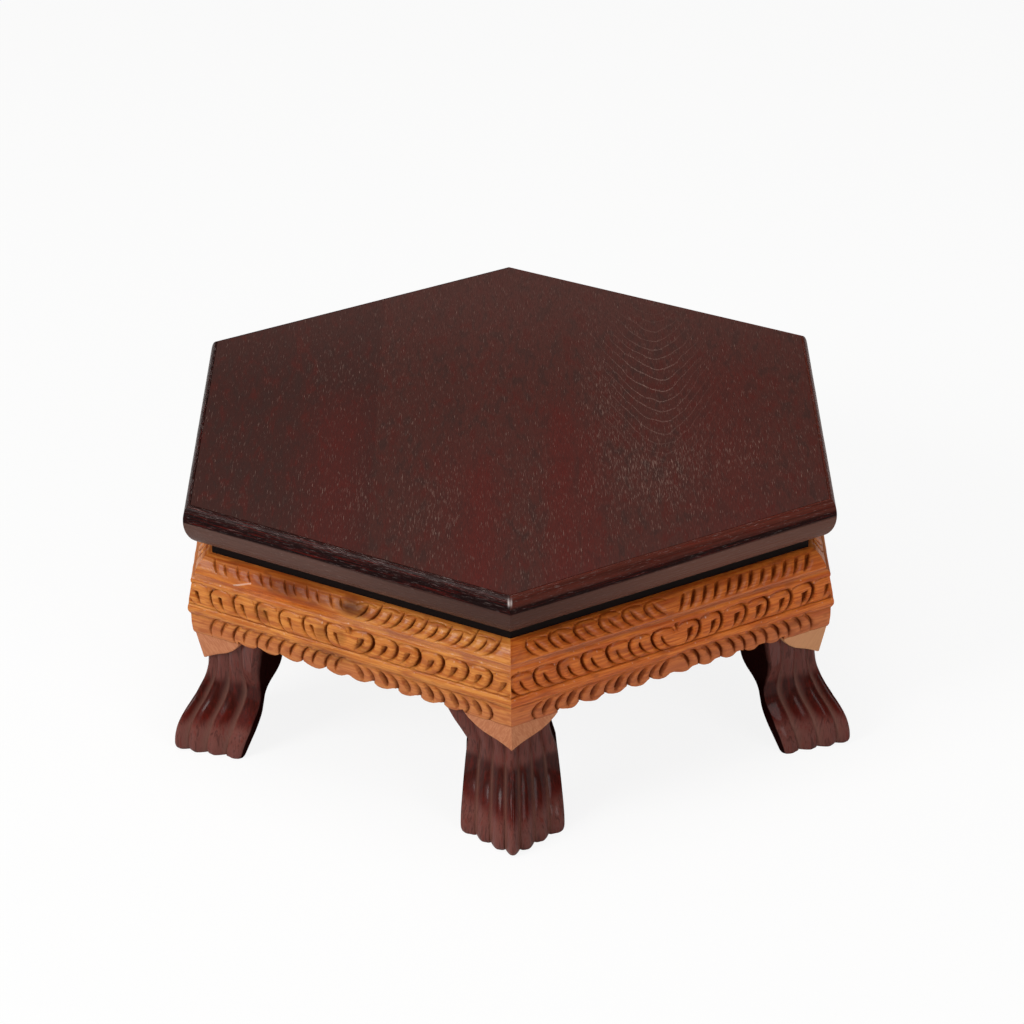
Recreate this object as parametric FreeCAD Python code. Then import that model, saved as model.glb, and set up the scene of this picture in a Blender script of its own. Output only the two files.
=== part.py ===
import FreeCAD, Part
import math
import os

# Low six-sided table (bajot): a glued-up top in a thick moulded edge, a recessed dark frame,
# a carved apron of six mitred boards, a glued-on pendant under each of their ends, and six
# reeded paw legs.
# Origin on the floor at the middle of the table, +Z up, one corner and leg towards -Y.

Vector = FreeCAD.Vector
ORIGIN = Vector(0, 0, 0)
UP = Vector(0, 0, 1)

# Whole table
sides = 6
table_height = 188.0
across_flats = 440.0
overrun = 5.0

# Top: four boards let into a rabbeted edge moulding
top_thickness = 31.0
board_thickness = 20.0
left_board_width = 121.0
inner_left_board_width = 60.0
inner_right_board_width = 81.0
flat_inset = 5.5
nose_drop = 12.0
nose_undercut = 14.0

# Recessed frame between top and apron
neck_height = 10.0
neck_width = 25.0
neck_setback = 17.5

# Apron boards, measured down from their top edge and in from the nose of the top
apron_inner_setback = 26.0
apron_top_setback = 15.0
apron_crest_drop = 5.5
apron_crest_setback = 8.5
upper_band_drop = 12.4
upper_band_setback = 5.2
groove_width = 1.7
bead_height = 5.1
bead_setback = 2.5
middle_band_drop = 33.5
middle_band_setback = 0.2
lower_bead_height = 7.4
lower_bead_swell = 0.6
lower_bead_foot_setback = 0.4
step_height = 1.6
step_setback = 1.4
lower_band_drop = 57.7
lower_band_setback = 2.2
scallop_depth = 3.2
scallops_per_half = 5
scallop_low_point_share = 0.38

# Pendants under the ends of the apron boards, as thick as these at the back and set in a little
pendant_drop = 80.3
pendant_root_setback = 3.7
pendant_setback = 8.2
pendant_width = 33.0
pendant_belly_width = 21.5
pendant_belly_rise = 10.0

# Legs: seven reeds that run down a straight neck, kick out at the knee and end in toes
reed_count = 7
leg_curve_degree = 3
neck_projection = 17.0
neck_depth = 39.5
neck_half_width = 29.5
foot_half_width = 34.8
toe_kick = 30.0
heel_kick = 34.0
vee_nose_radius = 3.0
neck_crease_depth = 1.8
foot_crease_depth = 3.2
post_half_width = 29.5

# Sections of a leg from its shoulder to the floor, as shares: height of the shoulder, kick of
# the toe, kick of the heel, spread from neck to foot, and slope of the vee's two faces
leg_section_shares = [
    (1.000, 0.00, 0.00, 0.30, 0.577),
    (0.880, 0.00, 0.01, 0.12, 0.577),
    (0.764, 0.00, 0.03, 0.02, 0.577),
    (0.664, 0.04, 0.12, 0.00, 0.70),
    (0.576, 0.13, 0.26, 0.10, 0.92),
    (0.500, 0.27, 0.37, 0.28, 1.12),
    (0.420, 0.44, 0.43, 0.42, 1.22),
    (0.343, 0.64, 0.49, 0.56, 1.28),
    (0.233, 0.86, 0.63, 0.74, 1.28),
    (0.133, 0.965, 0.79, 0.92, 1.18),
    (0.061, 1.00, 0.90, 1.00, 1.10),
    (0.000, 0.91, 1.00, 0.82, 0.98),
]

# Braces across the inner corners
brace_thickness = 14.0
brace_height = 36.0

# Battens under the boards
batten_width = 45.0
batten_thickness = 18.0
batten_centre = 75.0
batten_end_gap = 6.0
batten_chamfer = 6.0

# Countersunk wood screws
screw_diameter = 3.5
screw_head_diameter = 7.0
screw_head_height = 2.4
screw_point_length = 3.5
screw_slot_width = 1.0
screw_slot_depth = 1.1
batten_screw_length = 30.0
batten_screw_edge = 11.0
top_screw_length = 19.0
top_screw_spread = 22.0
neck_screw_length = 32.0
neck_screw_spread = 60.0
neck_screw_edge = 3.5
brace_screw_length = 22.0
brace_screw_seat = 2.4
leg_screw_length = 30.0
leg_screw_edge = 10.0

# Places worked out from the sizes above
half_flat = across_flats / 2
half_turn = math.pi / sides
top_under = table_height - top_thickness
boards_under = table_height - board_thickness
apron_top = top_under - neck_height
board_reach = half_flat - flat_inset
neck_outer = half_flat - neck_setback
neck_inner = neck_outer - neck_width
apron_inner = half_flat - apron_inner_setback
apron_bottom = apron_top - lower_band_drop
pendant_tip = apron_top - pendant_drop
pendant_tip_half = (half_flat - pendant_setback) * math.tan(half_turn)
pendant_root_half = pendant_tip_half - pendant_width
apron_corner = apron_inner / math.cos(half_turn)
neck_reach = apron_corner + neck_projection
leg_back_reach = neck_reach - neck_depth
brace_front = leg_back_reach
brace_back = brace_front - brace_thickness
brace_bottom = apron_top - brace_height

# The sides in turn from +X, and the corners that follow each of them
side_turn = math.degrees(half_turn) * 2
face_names = ("right", "back_right", "back_left", "left", "front_left", "front_right")
corner_names = ("back_right", "back", "back_left", "front_left", "front", "front_right")
face_angles = {name: side_turn * place for place, name in enumerate(face_names)}
corner_angles = {name: side_turn * (place + 1 / 2) for place, name in enumerate(corner_names)}


def turned(shape, angle):
    """The shape turned about the table's axis, from +X to the given angle."""
    copy = shape.copy()
    copy.rotate(ORIGIN, UP, angle)
    return copy


def outline_solid(points, direction):
    """A closed outline of straight edges, pushed along a direction."""
    return Part.Face(Part.makePolygon(points + points[:1])).extrude(direction)


def quarter_curve(start, corner, end):
    """A quarter of an ellipse from start to end, bending round the corner of its box."""
    curve = Part.BezierCurve()
    curve.setPoles([start, corner, end])
    curve.setWeight(2, math.sqrt(0.5))
    return curve.toShape()


def line(start, end):
    return Part.LineSegment(start, end).toShape()


def arc(start, middle, end):
    return Part.Arc(start, middle, end).toShape()


def hexagon(reach, bottom, top):
    """A six-sided prism whose flats lie at the given reach from the axis."""
    corner = reach / math.cos(half_turn)
    points = []
    for angle in corner_angles.values():
        turn = math.radians(angle)
        points.append(Vector(corner * math.cos(turn), corner * math.sin(turn), bottom))
    return outline_solid(points, Vector(0, 0, top - bottom))


def mitred(section, reach):
    """A section standing in the XZ plane, run along one side and mitred at both corners."""
    length = reach * math.tan(half_turn) + overrun
    bar = section.copy()
    bar.translate(Vector(0, -length, 0))
    bar = bar.extrude(Vector(0, 2 * length, 0))
    far = reach + overrun
    spread = far * math.tan(half_turn)
    wedge = outline_solid(
        [Vector(0, 0, -overrun), Vector(far, -spread, -overrun), Vector(far, spread, -overrun)],
        Vector(0, 0, table_height + 2 * overrun))
    return bar.common(wedge)


def section_face(edges):
    return Part.Face(Part.Wire(edges))


def at(reach, height):
    """A point of a section: its reach from the table's axis and its height."""
    return Vector(reach, 0, height)


def edge_moulding():
    """Edge of the top: rounded nose, deep undercut, and a rabbet that carries the boards."""
    nose = table_height - nose_drop
    under = half_flat - nose_undercut
    return mitred(section_face([
        quarter_curve(at(board_reach, table_height), at(half_flat, table_height),
                      at(half_flat, nose)),
        quarter_curve(at(half_flat, nose), at(half_flat, top_under), at(under, top_under)),
        line(at(under, top_under), at(neck_inner, top_under)),
        line(at(neck_inner, top_under), at(neck_inner, boards_under)),
        line(at(neck_inner, boards_under), at(board_reach, boards_under)),
        line(at(board_reach, boards_under), at(board_reach, table_height)),
    ]), half_flat)


def neck_frame():
    """Recessed strip that lifts the top off the apron and makes the dark shadow line."""
    return mitred(section_face([
        line(at(neck_inner, apron_top), at(neck_outer, apron_top)),
        line(at(neck_outer, apron_top), at(neck_outer, top_under)),
        line(at(neck_outer, top_under), at(neck_inner, top_under)),
        line(at(neck_inner, top_under), at(neck_inner, apron_top)),
    ]), half_flat)


def face_point(setback, drop):
    """A point of a section: how far in from the nose of the top, and down from the apron's."""
    return at(half_flat - setback, apron_top - drop)


def apron_section():
    """Moulded face of an apron board, from its top edge down to its lower edge."""
    top_edge = face_point(apron_top_setback, 0)
    crest = face_point(apron_crest_setback, apron_crest_drop)
    band_foot = face_point(upper_band_setback, upper_band_drop)
    bead_top = face_point(upper_band_setback, upper_band_drop + groove_width)
    bead_drop = upper_band_drop + groove_width + bead_height
    bead_face = face_point(bead_setback, upper_band_drop + groove_width + bead_height / 2)
    bead_foot = face_point(bead_setback, bead_drop)
    middle_foot = face_point(middle_band_setback, middle_band_drop)
    swell = face_point(middle_band_setback - lower_bead_swell,
                       middle_band_drop + lower_bead_height / 2)
    swell_foot = face_point(lower_bead_foot_setback, middle_band_drop + lower_bead_height)
    step_drop = middle_band_drop + lower_bead_height + step_height
    step_foot = face_point(step_setback, step_drop)
    band_end = face_point(lower_band_setback, lower_band_drop)
    inner_bottom = at(apron_inner, apron_bottom)
    inner_top = at(apron_inner, apron_top)
    return section_face([
        line(top_edge, crest),
        line(crest, band_foot),
        line(band_foot, bead_top),
        line(bead_top, bead_face),
        line(bead_face, bead_foot),
        line(bead_foot, middle_foot),
        arc(middle_foot, swell, swell_foot),
        line(swell_foot, step_foot),
        line(step_foot, band_end),
        line(band_end, inner_bottom),
        line(inner_bottom, inner_top),
        line(inner_top, top_edge),
    ])


def seen(along, height):
    """A point of a front view: along the side from its middle, and up from the floor."""
    return Vector(0, along, height)


def apron_outline():
    """Front view of an apron board: its lower edge is scalloped between the two pendants."""
    half = half_flat * math.tan(half_turn) + overrun
    pitch = pendant_root_half / scallops_per_half
    valley = apron_bottom + scallop_depth
    edges = [line(seen(-half, apron_top + overrun), seen(-half, apron_bottom)),
             line(seen(-half, apron_bottom), seen(-pendant_root_half, apron_bottom)),
             line(seen(-pendant_root_half, apron_bottom), seen(-pendant_root_half, valley))]
    for number in range(-scallops_per_half, scallops_per_half):
        start = number * pitch
        side = 1 if number < 0 else -1
        low_point = start + pitch / 2 + side * pitch * (0.5 - scallop_low_point_share)
        edges.append(arc(seen(start, valley), seen(low_point, apron_bottom),
                         seen(start + pitch, valley)))
    edges += [line(seen(pendant_root_half, valley), seen(pendant_root_half, apron_bottom)),
              line(seen(pendant_root_half, apron_bottom), seen(half, apron_bottom)),
              line(seen(half, apron_bottom), seen(half, apron_top + overrun)),
              line(seen(half, apron_top + overrun), seen(-half, apron_top + overrun))]
    return section_face(edges)


def pendant_section():
    """Face of a pendant, leaning in from its joint with the apron board to its point."""
    return section_face([
        line(face_point(pendant_root_setback, lower_band_drop),
             face_point(pendant_setback, pendant_drop)),
        line(face_point(pendant_setback, pendant_drop), at(apron_inner, pendant_tip)),
        line(at(apron_inner, pendant_tip), at(apron_inner, apron_bottom)),
        line(at(apron_inner, apron_bottom),
             face_point(pendant_root_setback, lower_band_drop)),
    ])


def pendant_outline():
    """Front view of the pendant at the end of a side: a full belly that ends in a point."""
    half = half_flat * math.tan(half_turn) + overrun
    return section_face([
        line(seen(pendant_root_half, apron_bottom), seen(half, apron_bottom)),
        line(seen(half, apron_bottom), seen(half, pendant_tip)),
        line(seen(half, pendant_tip), seen(pendant_tip_half, pendant_tip)),
        arc(seen(pendant_tip_half, pendant_tip),
            seen(pendant_tip_half - pendant_belly_width, pendant_tip + pendant_belly_rise),
            seen(pendant_root_half, apron_bottom)),
    ])


def cut_to_outline(bar, outline):
    return bar.common(outline.extrude(Vector(half_flat + overrun, 0, 0)))


def apron_rail():
    return cut_to_outline(mitred(apron_section(), half_flat + lower_bead_swell), apron_outline())


def pendant():
    """The pendant at the end of a side that lies towards +Y on the side facing +X."""
    return cut_to_outline(mitred(pendant_section(), half_flat), pendant_outline())


def reed_section(height, reach, back, half_width, vee, crease):
    """One level of a leg: seven arched reeds round a blunt vee, plain sides and a flat back."""
    points = []
    steps = range(-reed_count, reed_count + 1)
    for step in steps:
        along = half_width * step / reed_count
        depth = vee * (math.hypot(along, vee_nose_radius) - vee_nose_radius)
        in_crease = (step - reed_count) % 2 == 0 and abs(step) < reed_count
        points.append(Vector(reach - depth - (crease if in_crease else 0), along, height))
    edges = [arc(*three) for three in zip(points[0::2], points[1::2], points[2::2])]
    left, right = points[0], points[-1]
    back_left = Vector(back, left.y, height)
    back_right = Vector(back, right.y, height)
    edges += [line(right, back_right), line(back_right, back_left), line(back_left, left)]
    return Part.Wire(edges)


def blend(start, end, share):
    return start + (end - start) * share


def leg_body():
    wires = []
    for height_share, kick, back_kick, spread, vee in leg_section_shares:
        wires.append(reed_section(
            apron_bottom * height_share,
            neck_reach + toe_kick * kick,
            leg_back_reach + heel_kick * back_kick,
            blend(neck_half_width, foot_half_width, spread),
            vee,
            blend(neck_crease_depth, foot_crease_depth, kick)))
    return Part.makeLoft(wires, True, False, False, leg_curve_degree)


def leg_post():
    """Upper end of a leg, planed to fit the inner corner of the apron."""
    side = apron_corner - post_half_width / math.tan(2 * half_turn)
    points = [Vector(apron_corner, 0, apron_bottom), Vector(side, post_half_width, apron_bottom),
              Vector(leg_back_reach, post_half_width, apron_bottom),
              Vector(leg_back_reach, -post_half_width, apron_bottom),
              Vector(side, -post_half_width, apron_bottom)]
    return outline_solid(points, Vector(0, 0, apron_top - apron_bottom))


def corner_brace():
    """Brace across an inner corner, its ends bevelled to lie flat against the apron."""
    front_half = (apron_corner - brace_front) * math.tan(2 * half_turn)
    back_half = (apron_corner - brace_back) * math.tan(2 * half_turn)
    points = [Vector(brace_front, -front_half, brace_bottom),
              Vector(brace_front, front_half, brace_bottom),
              Vector(brace_back, back_half, brace_bottom),
              Vector(brace_back, -back_half, brace_bottom)]
    return outline_solid(points, Vector(0, 0, brace_height))


def board(start, end):
    """A board of the top, between two glue lines that run front to back."""
    slab = Part.makeBox(end - start, 4 * half_flat, board_thickness,
                        Vector(start, -2 * half_flat, boards_under))
    return hexagon(board_reach, boards_under, table_height).common(slab)


def batten(centre):
    """Batten across the underside of the boards, chamfered at its ends."""
    half = neck_inner - batten_end_gap
    bottom = boards_under - batten_thickness
    points = [Vector(-half, centre - batten_width / 2, boards_under),
              Vector(half, centre - batten_width / 2, boards_under),
              Vector(half, centre - batten_width / 2, bottom + batten_chamfer),
              Vector(half - batten_chamfer, centre - batten_width / 2, bottom),
              Vector(-half + batten_chamfer, centre - batten_width / 2, bottom),
              Vector(-half, centre - batten_width / 2, bottom + batten_chamfer)]
    return outline_solid(points, Vector(0, batten_width, 0))


def screw_blank(length):
    """Countersunk screw with its head at the origin, pointing up +Z."""
    shank = screw_diameter / 2
    point = length - screw_point_length
    outline = [Vector(0, 0, 0), Vector(screw_head_diameter / 2, 0, 0),
               Vector(shank, 0, screw_head_height), Vector(shank, 0, point),
               Vector(0, 0, length)]
    return Part.Face(Part.makePolygon(outline + outline[:1])).revolve(ORIGIN, UP, 360)


def slotted(blank):
    slot = Part.makeBox(screw_head_diameter + 2 * overrun, screw_slot_width,
                        screw_slot_depth + overrun,
                        Vector(-screw_head_diameter / 2 - overrun, -screw_slot_width / 2,
                               -overrun))
    return blank.cut(slot)


def driven(shape, head, direction):
    """The shape moved so that its head lies at a point and it points along a direction."""
    copy = shape.copy()
    copy.Placement = FreeCAD.Placement(head, FreeCAD.Rotation(UP, direction))
    return copy


def board_edges():
    left = -board_reach
    first = left + left_board_width
    second = first + inner_left_board_width
    third = second + inner_right_board_width
    return [left, first, second, third, board_reach]


def batten_screw_places():
    """One screw near each edge of every board, up through both battens."""
    places = []
    half = neck_inner - batten_end_gap - batten_chamfer
    edges = board_edges()
    for row in (-batten_centre, batten_centre):
        for start, end in zip(edges, edges[1:]):
            for along in (max(start, -half) + batten_screw_edge,
                          min(end, half) - batten_screw_edge):
                places.append((Vector(along, row, boards_under - batten_thickness), UP))
    return places


def turned_places(places, angles):
    result = []
    for angle in angles.values():
        turn = FreeCAD.Rotation(UP, angle)
        for head, direction in places:
            result.append((turn.multVec(head), turn.multVec(direction)))
    return result


def top_screw_places():
    """Up through the inner half of the neck frame into the edge moulding."""
    reach = (neck_inner + apron_inner) / 2
    one_side = [(Vector(reach, side * top_screw_spread, apron_top), UP) for side in (-1, 1)]
    return turned_places(one_side, face_angles)


def neck_screw_places():
    """Down through the neck frame into the top edge of the apron."""
    reach = apron_inner + neck_screw_edge
    one_side = [(Vector(reach, side * neck_screw_spread, top_under), Vector(0, 0, -1))
                for side in (-1, 1)]
    return turned_places(one_side, face_angles)


def brace_screw_places():
    """Square to the apron through both ends of each brace, with the heads let in."""
    middle_reach = (brace_front + brace_back) / 2
    middle_half = (apron_corner - middle_reach) * math.tan(2 * half_turn)
    height = apron_top - brace_height / 2
    one_corner = []
    for side in (-1, 1):
        direction = Vector(math.cos(half_turn), side * math.sin(half_turn), 0)
        run = (middle_reach - brace_back) / math.cos(half_turn) - brace_screw_seat
        end = Vector(middle_reach, side * middle_half, height)
        one_corner.append((end - direction * run, direction))
    return turned_places(one_corner, corner_angles)


def leg_screw_places():
    """Outwards through the middle of each brace into the post of the leg."""
    one_corner = [(Vector(brace_back, 0, height), Vector(1, 0, 0))
                  for height in (apron_top - leg_screw_edge, brace_bottom + leg_screw_edge)]
    return turned_places(one_corner, corner_angles)


def screws(places, length):
    blank = screw_blank(length)
    screw = slotted(blank)
    cutters = [driven(blank, head, direction) for head, direction in places]
    group = Part.makeCompound([driven(screw, head, direction) for head, direction in places])
    return group, cutters


def counterbores(places):
    """Round seats that let the slanted screws' heads into the back of the braces."""
    bore = Part.makeCylinder(screw_head_diameter / 2, 2 * screw_head_diameter,
                             Vector(0, 0, -2 * screw_head_diameter), UP)
    return [driven(bore, head, direction) for head, direction in places]


def bored(shape, cutters):
    """The shape less every cutter whose box reaches it."""
    near = [cutter for cutter in cutters if shape.BoundBox.intersect(cutter.BoundBox)]
    return shape.cut(near).removeSplitter() if near else shape


def build():
    parts = {}
    batten_screws, batten_cutters = screws(batten_screw_places(), batten_screw_length)
    top_screws, top_cutters = screws(top_screw_places(), top_screw_length)
    neck_screws, neck_cutters = screws(neck_screw_places(), neck_screw_length)
    brace_places = brace_screw_places()
    brace_screws, brace_cutters = screws(brace_places, brace_screw_length)
    leg_screws, leg_cutters = screws(leg_screw_places(), leg_screw_length)

    edges = board_edges()
    names = ("left", "inner_left", "inner_right", "right")
    for name, start, end in zip(names, edges, edges[1:]):
        parts["top_board_" + name] = bored(board(start, end), batten_cutters)
    for name, centre in (("front", -batten_centre), ("back", batten_centre)):
        parts["batten_" + name] = bored(batten(centre), batten_cutters)

    moulding = edge_moulding()
    neck = neck_frame()
    rail = apron_rail()
    right_pendant = pendant()
    left_pendant = right_pendant.mirror(ORIGIN, Vector(0, 1, 0))
    for name, angle in face_angles.items():
        parts["edge_moulding_" + name] = bored(turned(moulding, angle), top_cutters)
        parts["neck_frame_" + name] = bored(turned(neck, angle), top_cutters + neck_cutters)
        parts["apron_" + name] = bored(turned(rail, angle), neck_cutters + brace_cutters)
        parts["pendant_" + name + "_left_end"] = turned(left_pendant, angle)
        parts["pendant_" + name + "_right_end"] = turned(right_pendant, angle)

    beside = [turned(piece, side * side_turn / 2) for side in (-1, 1)
              for piece in (rail, left_pendant, right_pendant)]
    leg = leg_body().fuse(leg_post()).cut(beside).removeSplitter()
    brace = corner_brace()
    for name, angle in corner_angles.items():
        parts["leg_" + name] = bored(turned(leg, angle), leg_cutters)
        parts["corner_brace_" + name] = bored(
            turned(brace, angle), leg_cutters + brace_cutters + counterbores(brace_places))

    parts["batten_screws"] = batten_screws
    parts["top_screws"] = top_screws
    parts["neck_screws"] = neck_screws
    parts["brace_screws"] = brace_screws
    parts["leg_screws"] = leg_screws
    return parts


def main():
    os.makedirs("parts", exist_ok=True)
    for name, shape in build().items():
        shape.exportStep("parts/" + name + ".step")
        print(name, len(shape.Solids), round(shape.Volume), shape.isValid())


main()
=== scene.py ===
import math

import bpy
import numpy as np
from mathutils import Matrix


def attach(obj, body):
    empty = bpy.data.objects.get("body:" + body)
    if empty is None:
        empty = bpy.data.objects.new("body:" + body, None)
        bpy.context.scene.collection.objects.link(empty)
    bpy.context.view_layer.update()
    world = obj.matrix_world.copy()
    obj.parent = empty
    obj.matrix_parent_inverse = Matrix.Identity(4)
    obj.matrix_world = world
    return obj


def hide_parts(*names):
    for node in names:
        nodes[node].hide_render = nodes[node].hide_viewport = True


# Low six-sided table: dark polished top, carved apron and six reeded legs that end in toes.
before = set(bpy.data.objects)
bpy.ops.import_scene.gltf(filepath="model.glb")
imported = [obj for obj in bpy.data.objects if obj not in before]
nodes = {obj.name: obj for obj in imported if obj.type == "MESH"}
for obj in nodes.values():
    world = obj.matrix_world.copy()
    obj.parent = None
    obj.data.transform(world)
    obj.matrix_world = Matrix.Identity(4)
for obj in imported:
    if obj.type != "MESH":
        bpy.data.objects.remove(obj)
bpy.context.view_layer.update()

MM = 0.001
COS_30 = math.cos(math.radians(30))
TAN_30 = math.tan(math.radians(30))
TAN_60 = math.tan(math.radians(60))

# Sizes of the table in millimetres, reaches measured out from its upright axis
TABLE_HEIGHT = 188.0
HALF_FLAT = 220.0
BOARD_REACH = 214.5
TOP_UNDER = 157.0
BOARDS_UNDER = 168.0
NOSE_HEIGHT = 176.0
NOSE_UNDERCUT_REACH = 206.0
NECK_INNER = 177.5
APRON_TOP = 147.0
APRON_BOTTOM = 89.3
APRON_INNER = 194.0
APRON_CORNER = APRON_INNER / COS_30
PENDANT_TIP = 66.7
NECK_REACH = APRON_CORNER + 17.0
BACK_REACH = NECK_REACH - 39.5
BOARD_JOINTS = [-BOARD_REACH, -93.5, -33.5, 47.5, BOARD_REACH]
BATTEN_THICKNESS = 18.0
BATTEN_CENTRE = 75.0
# What a batten stops short of the neck frame: its gap and its chamfer
BATTEN_SHORTFALL = 12.0
BRACE_THICKNESS = 14.0
BRACE_HEIGHT = 36.0
# Sides and corners of the table, with the angle at which each lies round the axis
FACES = {"right": 0, "back_right": 60, "back_left": 120,
         "left": 180, "front_left": 240, "front_right": 300}
CORNERS = {"back_right": 30, "back": 90, "back_left": 150,
           "front_left": 210, "front": 270, "front_right": 330}


# Helpers for nodes and meshes

# Settings that many nodes share. A colour mix has its factor at 0 and its colours at 6 and 7.
SMOOTH = {"interpolation_type": "SMOOTHSTEP"}
COLOURS = {"data_type": "RGBA"}
# Noise is turned off its axes, so that it doesn't show its lattice
LATTICE_TURN = (0.6, 0.4, 0.7)


def linear(colour):
    """An sRGB hex colour as the linear values that a shader takes."""
    parts = [int(colour[i:i + 2], 16) / 255 for i in (1, 3, 5)]
    return [c / 12.92 if c <= 0.04045 else ((c + 0.055) / 1.055) ** 2.4 for c in parts] + [1.0]


def add(tree, kind, settings=None, inputs=None):
    """A node with its settings, and with values, hex colours or links on its inputs."""
    node = tree.nodes.new(kind)
    for name, value in (settings or {}).items():
        setattr(node, name, value)
    for name, value in (inputs or {}).items():
        if isinstance(value, bpy.types.Node):
            value = next(output for output in value.outputs if output.enabled)
        if isinstance(value, bpy.types.NodeSocket):
            tree.links.new(value, node.inputs[name])
        elif isinstance(value, str) and value.startswith("#"):
            node.inputs[name].default_value = linear(value)
        else:
            node.inputs[name].default_value = value
    return node


def mesh_piece(name, vertices, faces, material, attributes, crease_angle):
    """A mesh object from points in millimetres, smooth but for its real edges."""
    mesh = bpy.data.meshes.new(name)
    mesh.from_pydata((np.asarray(vertices) * MM).tolist(), [], faces)
    for attribute, values in attributes.items():
        values = np.asarray(values, np.float32)
        vector = values.ndim == 2
        layer = mesh.attributes.new(attribute, "FLOAT_VECTOR" if vector else "FLOAT", "POINT")
        layer.data.foreach_set("vector" if vector else "value", values.ravel())
    mesh.update()
    mesh.validate()
    mesh.materials.append(material)
    return finished_piece(name, mesh, crease_angle)


def finished_piece(name, mesh, crease_angle):
    """An object for a mesh, shaded smooth between edges sharper than an angle."""
    mesh.shade_smooth()
    mesh.set_sharp_from_angle(angle=math.radians(crease_angle))
    piece = bpy.data.objects.new(name, mesh)
    bpy.context.scene.collection.objects.link(piece)
    return piece


def closed_faces(index):
    """Faces between rings of points, whose numbers are the columns of a table, and two ends."""
    wrap = np.roll(index, -1, 0)
    quads = np.stack([index[:, :-1], wrap[:, :-1], wrap[:, 1:], index[:, 1:]], -1).reshape(-1, 4)
    return quads.tolist() + [index[:, 0].tolist()[::-1], index[:, -1].tolist()]


def turned(points, angle):
    """Points turned about the table's axis."""
    turn = math.radians(angle)
    x, y, z = np.moveaxis(np.asarray(points, float), -1, 0)
    return np.stack([x * math.cos(turn) - y * math.sin(turn),
                     x * math.sin(turn) + y * math.cos(turn), z], -1)


def place(piece, slot, *replaced):
    """Fixes a piece to the table, in place of the solids that it stands for."""
    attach(piece, "root")
    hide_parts(*replaced)


def smooth_noise(points, size, seed):
    """Soft random values between -1 and 1 for points of a plane, size in millimetres."""
    rng = np.random.default_rng(seed)
    table = rng.uniform(-1, 1, (64, 64))
    grid = np.asarray(points, float) / size
    cell = np.floor(grid).astype(int)
    share = grid - cell
    share = share * share * (3 - 2 * share)
    i, j = cell[..., 0] % 64, cell[..., 1] % 64
    i1, j1 = (i + 1) % 64, (j + 1) % 64
    sx, sy = share[..., 0], share[..., 1]
    return ((table[i, j] * (1 - sx) + table[i1, j] * sx) * (1 - sy)
            + (table[i, j1] * (1 - sx) + table[i1, j1] * sx) * sy)


# Materials

def new_material(name):
    """An empty material and its node tree."""
    material = bpy.data.materials.new(name)
    material.use_nodes = True
    material.node_tree.nodes.clear()
    return material, material.node_tree


def surfaced(material, inputs):
    """The material with its shader, which takes values, colours and nodes."""
    tree = material.node_tree
    shader = add(tree, "ShaderNodeBsdfPrincipled", None, inputs)
    add(tree, "ShaderNodeOutputMaterial", None, {"Surface": shader})
    return material


def drawn_noise(tree, coordinates, scale, inputs, offset=(0, 0, 0)):
    """Noise drawn out along the fibre by a scale for each axis: 200 makes its grains a
    millimetre wide, and 20 makes them ten."""
    drawn = add(tree, "ShaderNodeMapping", None, {
        "Vector": coordinates, "Scale": scale, "Location": offset, "Rotation": LATTICE_TURN})
    return add(tree, "ShaderNodeTexNoise", None, {"Vector": drawn, **inputs})


def glazed(tree, base, colour, value, start, end, most, settings=None, within=None):
    """A colour laid over a base: none of it where a value is at its start, most of it at its
    end, and less outside a mask."""
    share = add(tree, "ShaderNodeMapRange", settings, {
        "Value": value, "From Min": start, "From Max": end, "To Max": most})
    if within is not None:
        share = add(tree, "ShaderNodeMath", {"operation": "MULTIPLY"}, {0: share, 1: within})
    return add(tree, "ShaderNodeMix", COLOURS, {0: share, 6: base, 7: colour})


def bell(tree, value, centre, width):
    """1 at the centre and falling off smoothly on both sides."""
    away = add(tree, "ShaderNodeMath", {"operation": "SUBTRACT"}, {0: value, 1: centre})
    share = add(tree, "ShaderNodeMath", {"operation": "DIVIDE"}, {0: away, 1: width})
    square = add(tree, "ShaderNodeMath", {"operation": "MULTIPLY"}, {0: share, 1: share})
    fall = add(tree, "ShaderNodeMath", {"operation": "MULTIPLY"}, {0: square, 1: -1.0})
    return add(tree, "ShaderNodeMath", {"operation": "EXPONENT"}, {0: fall})


def hill(tree, across, along, x, y, half_width, half_length):
    """1 at a spot of the top and falling off smoothly round it."""
    return add(tree, "ShaderNodeMath", {"operation": "MULTIPLY"}, {
        0: bell(tree, across, x, half_width), 1: bell(tree, along, y, half_length)})


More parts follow.
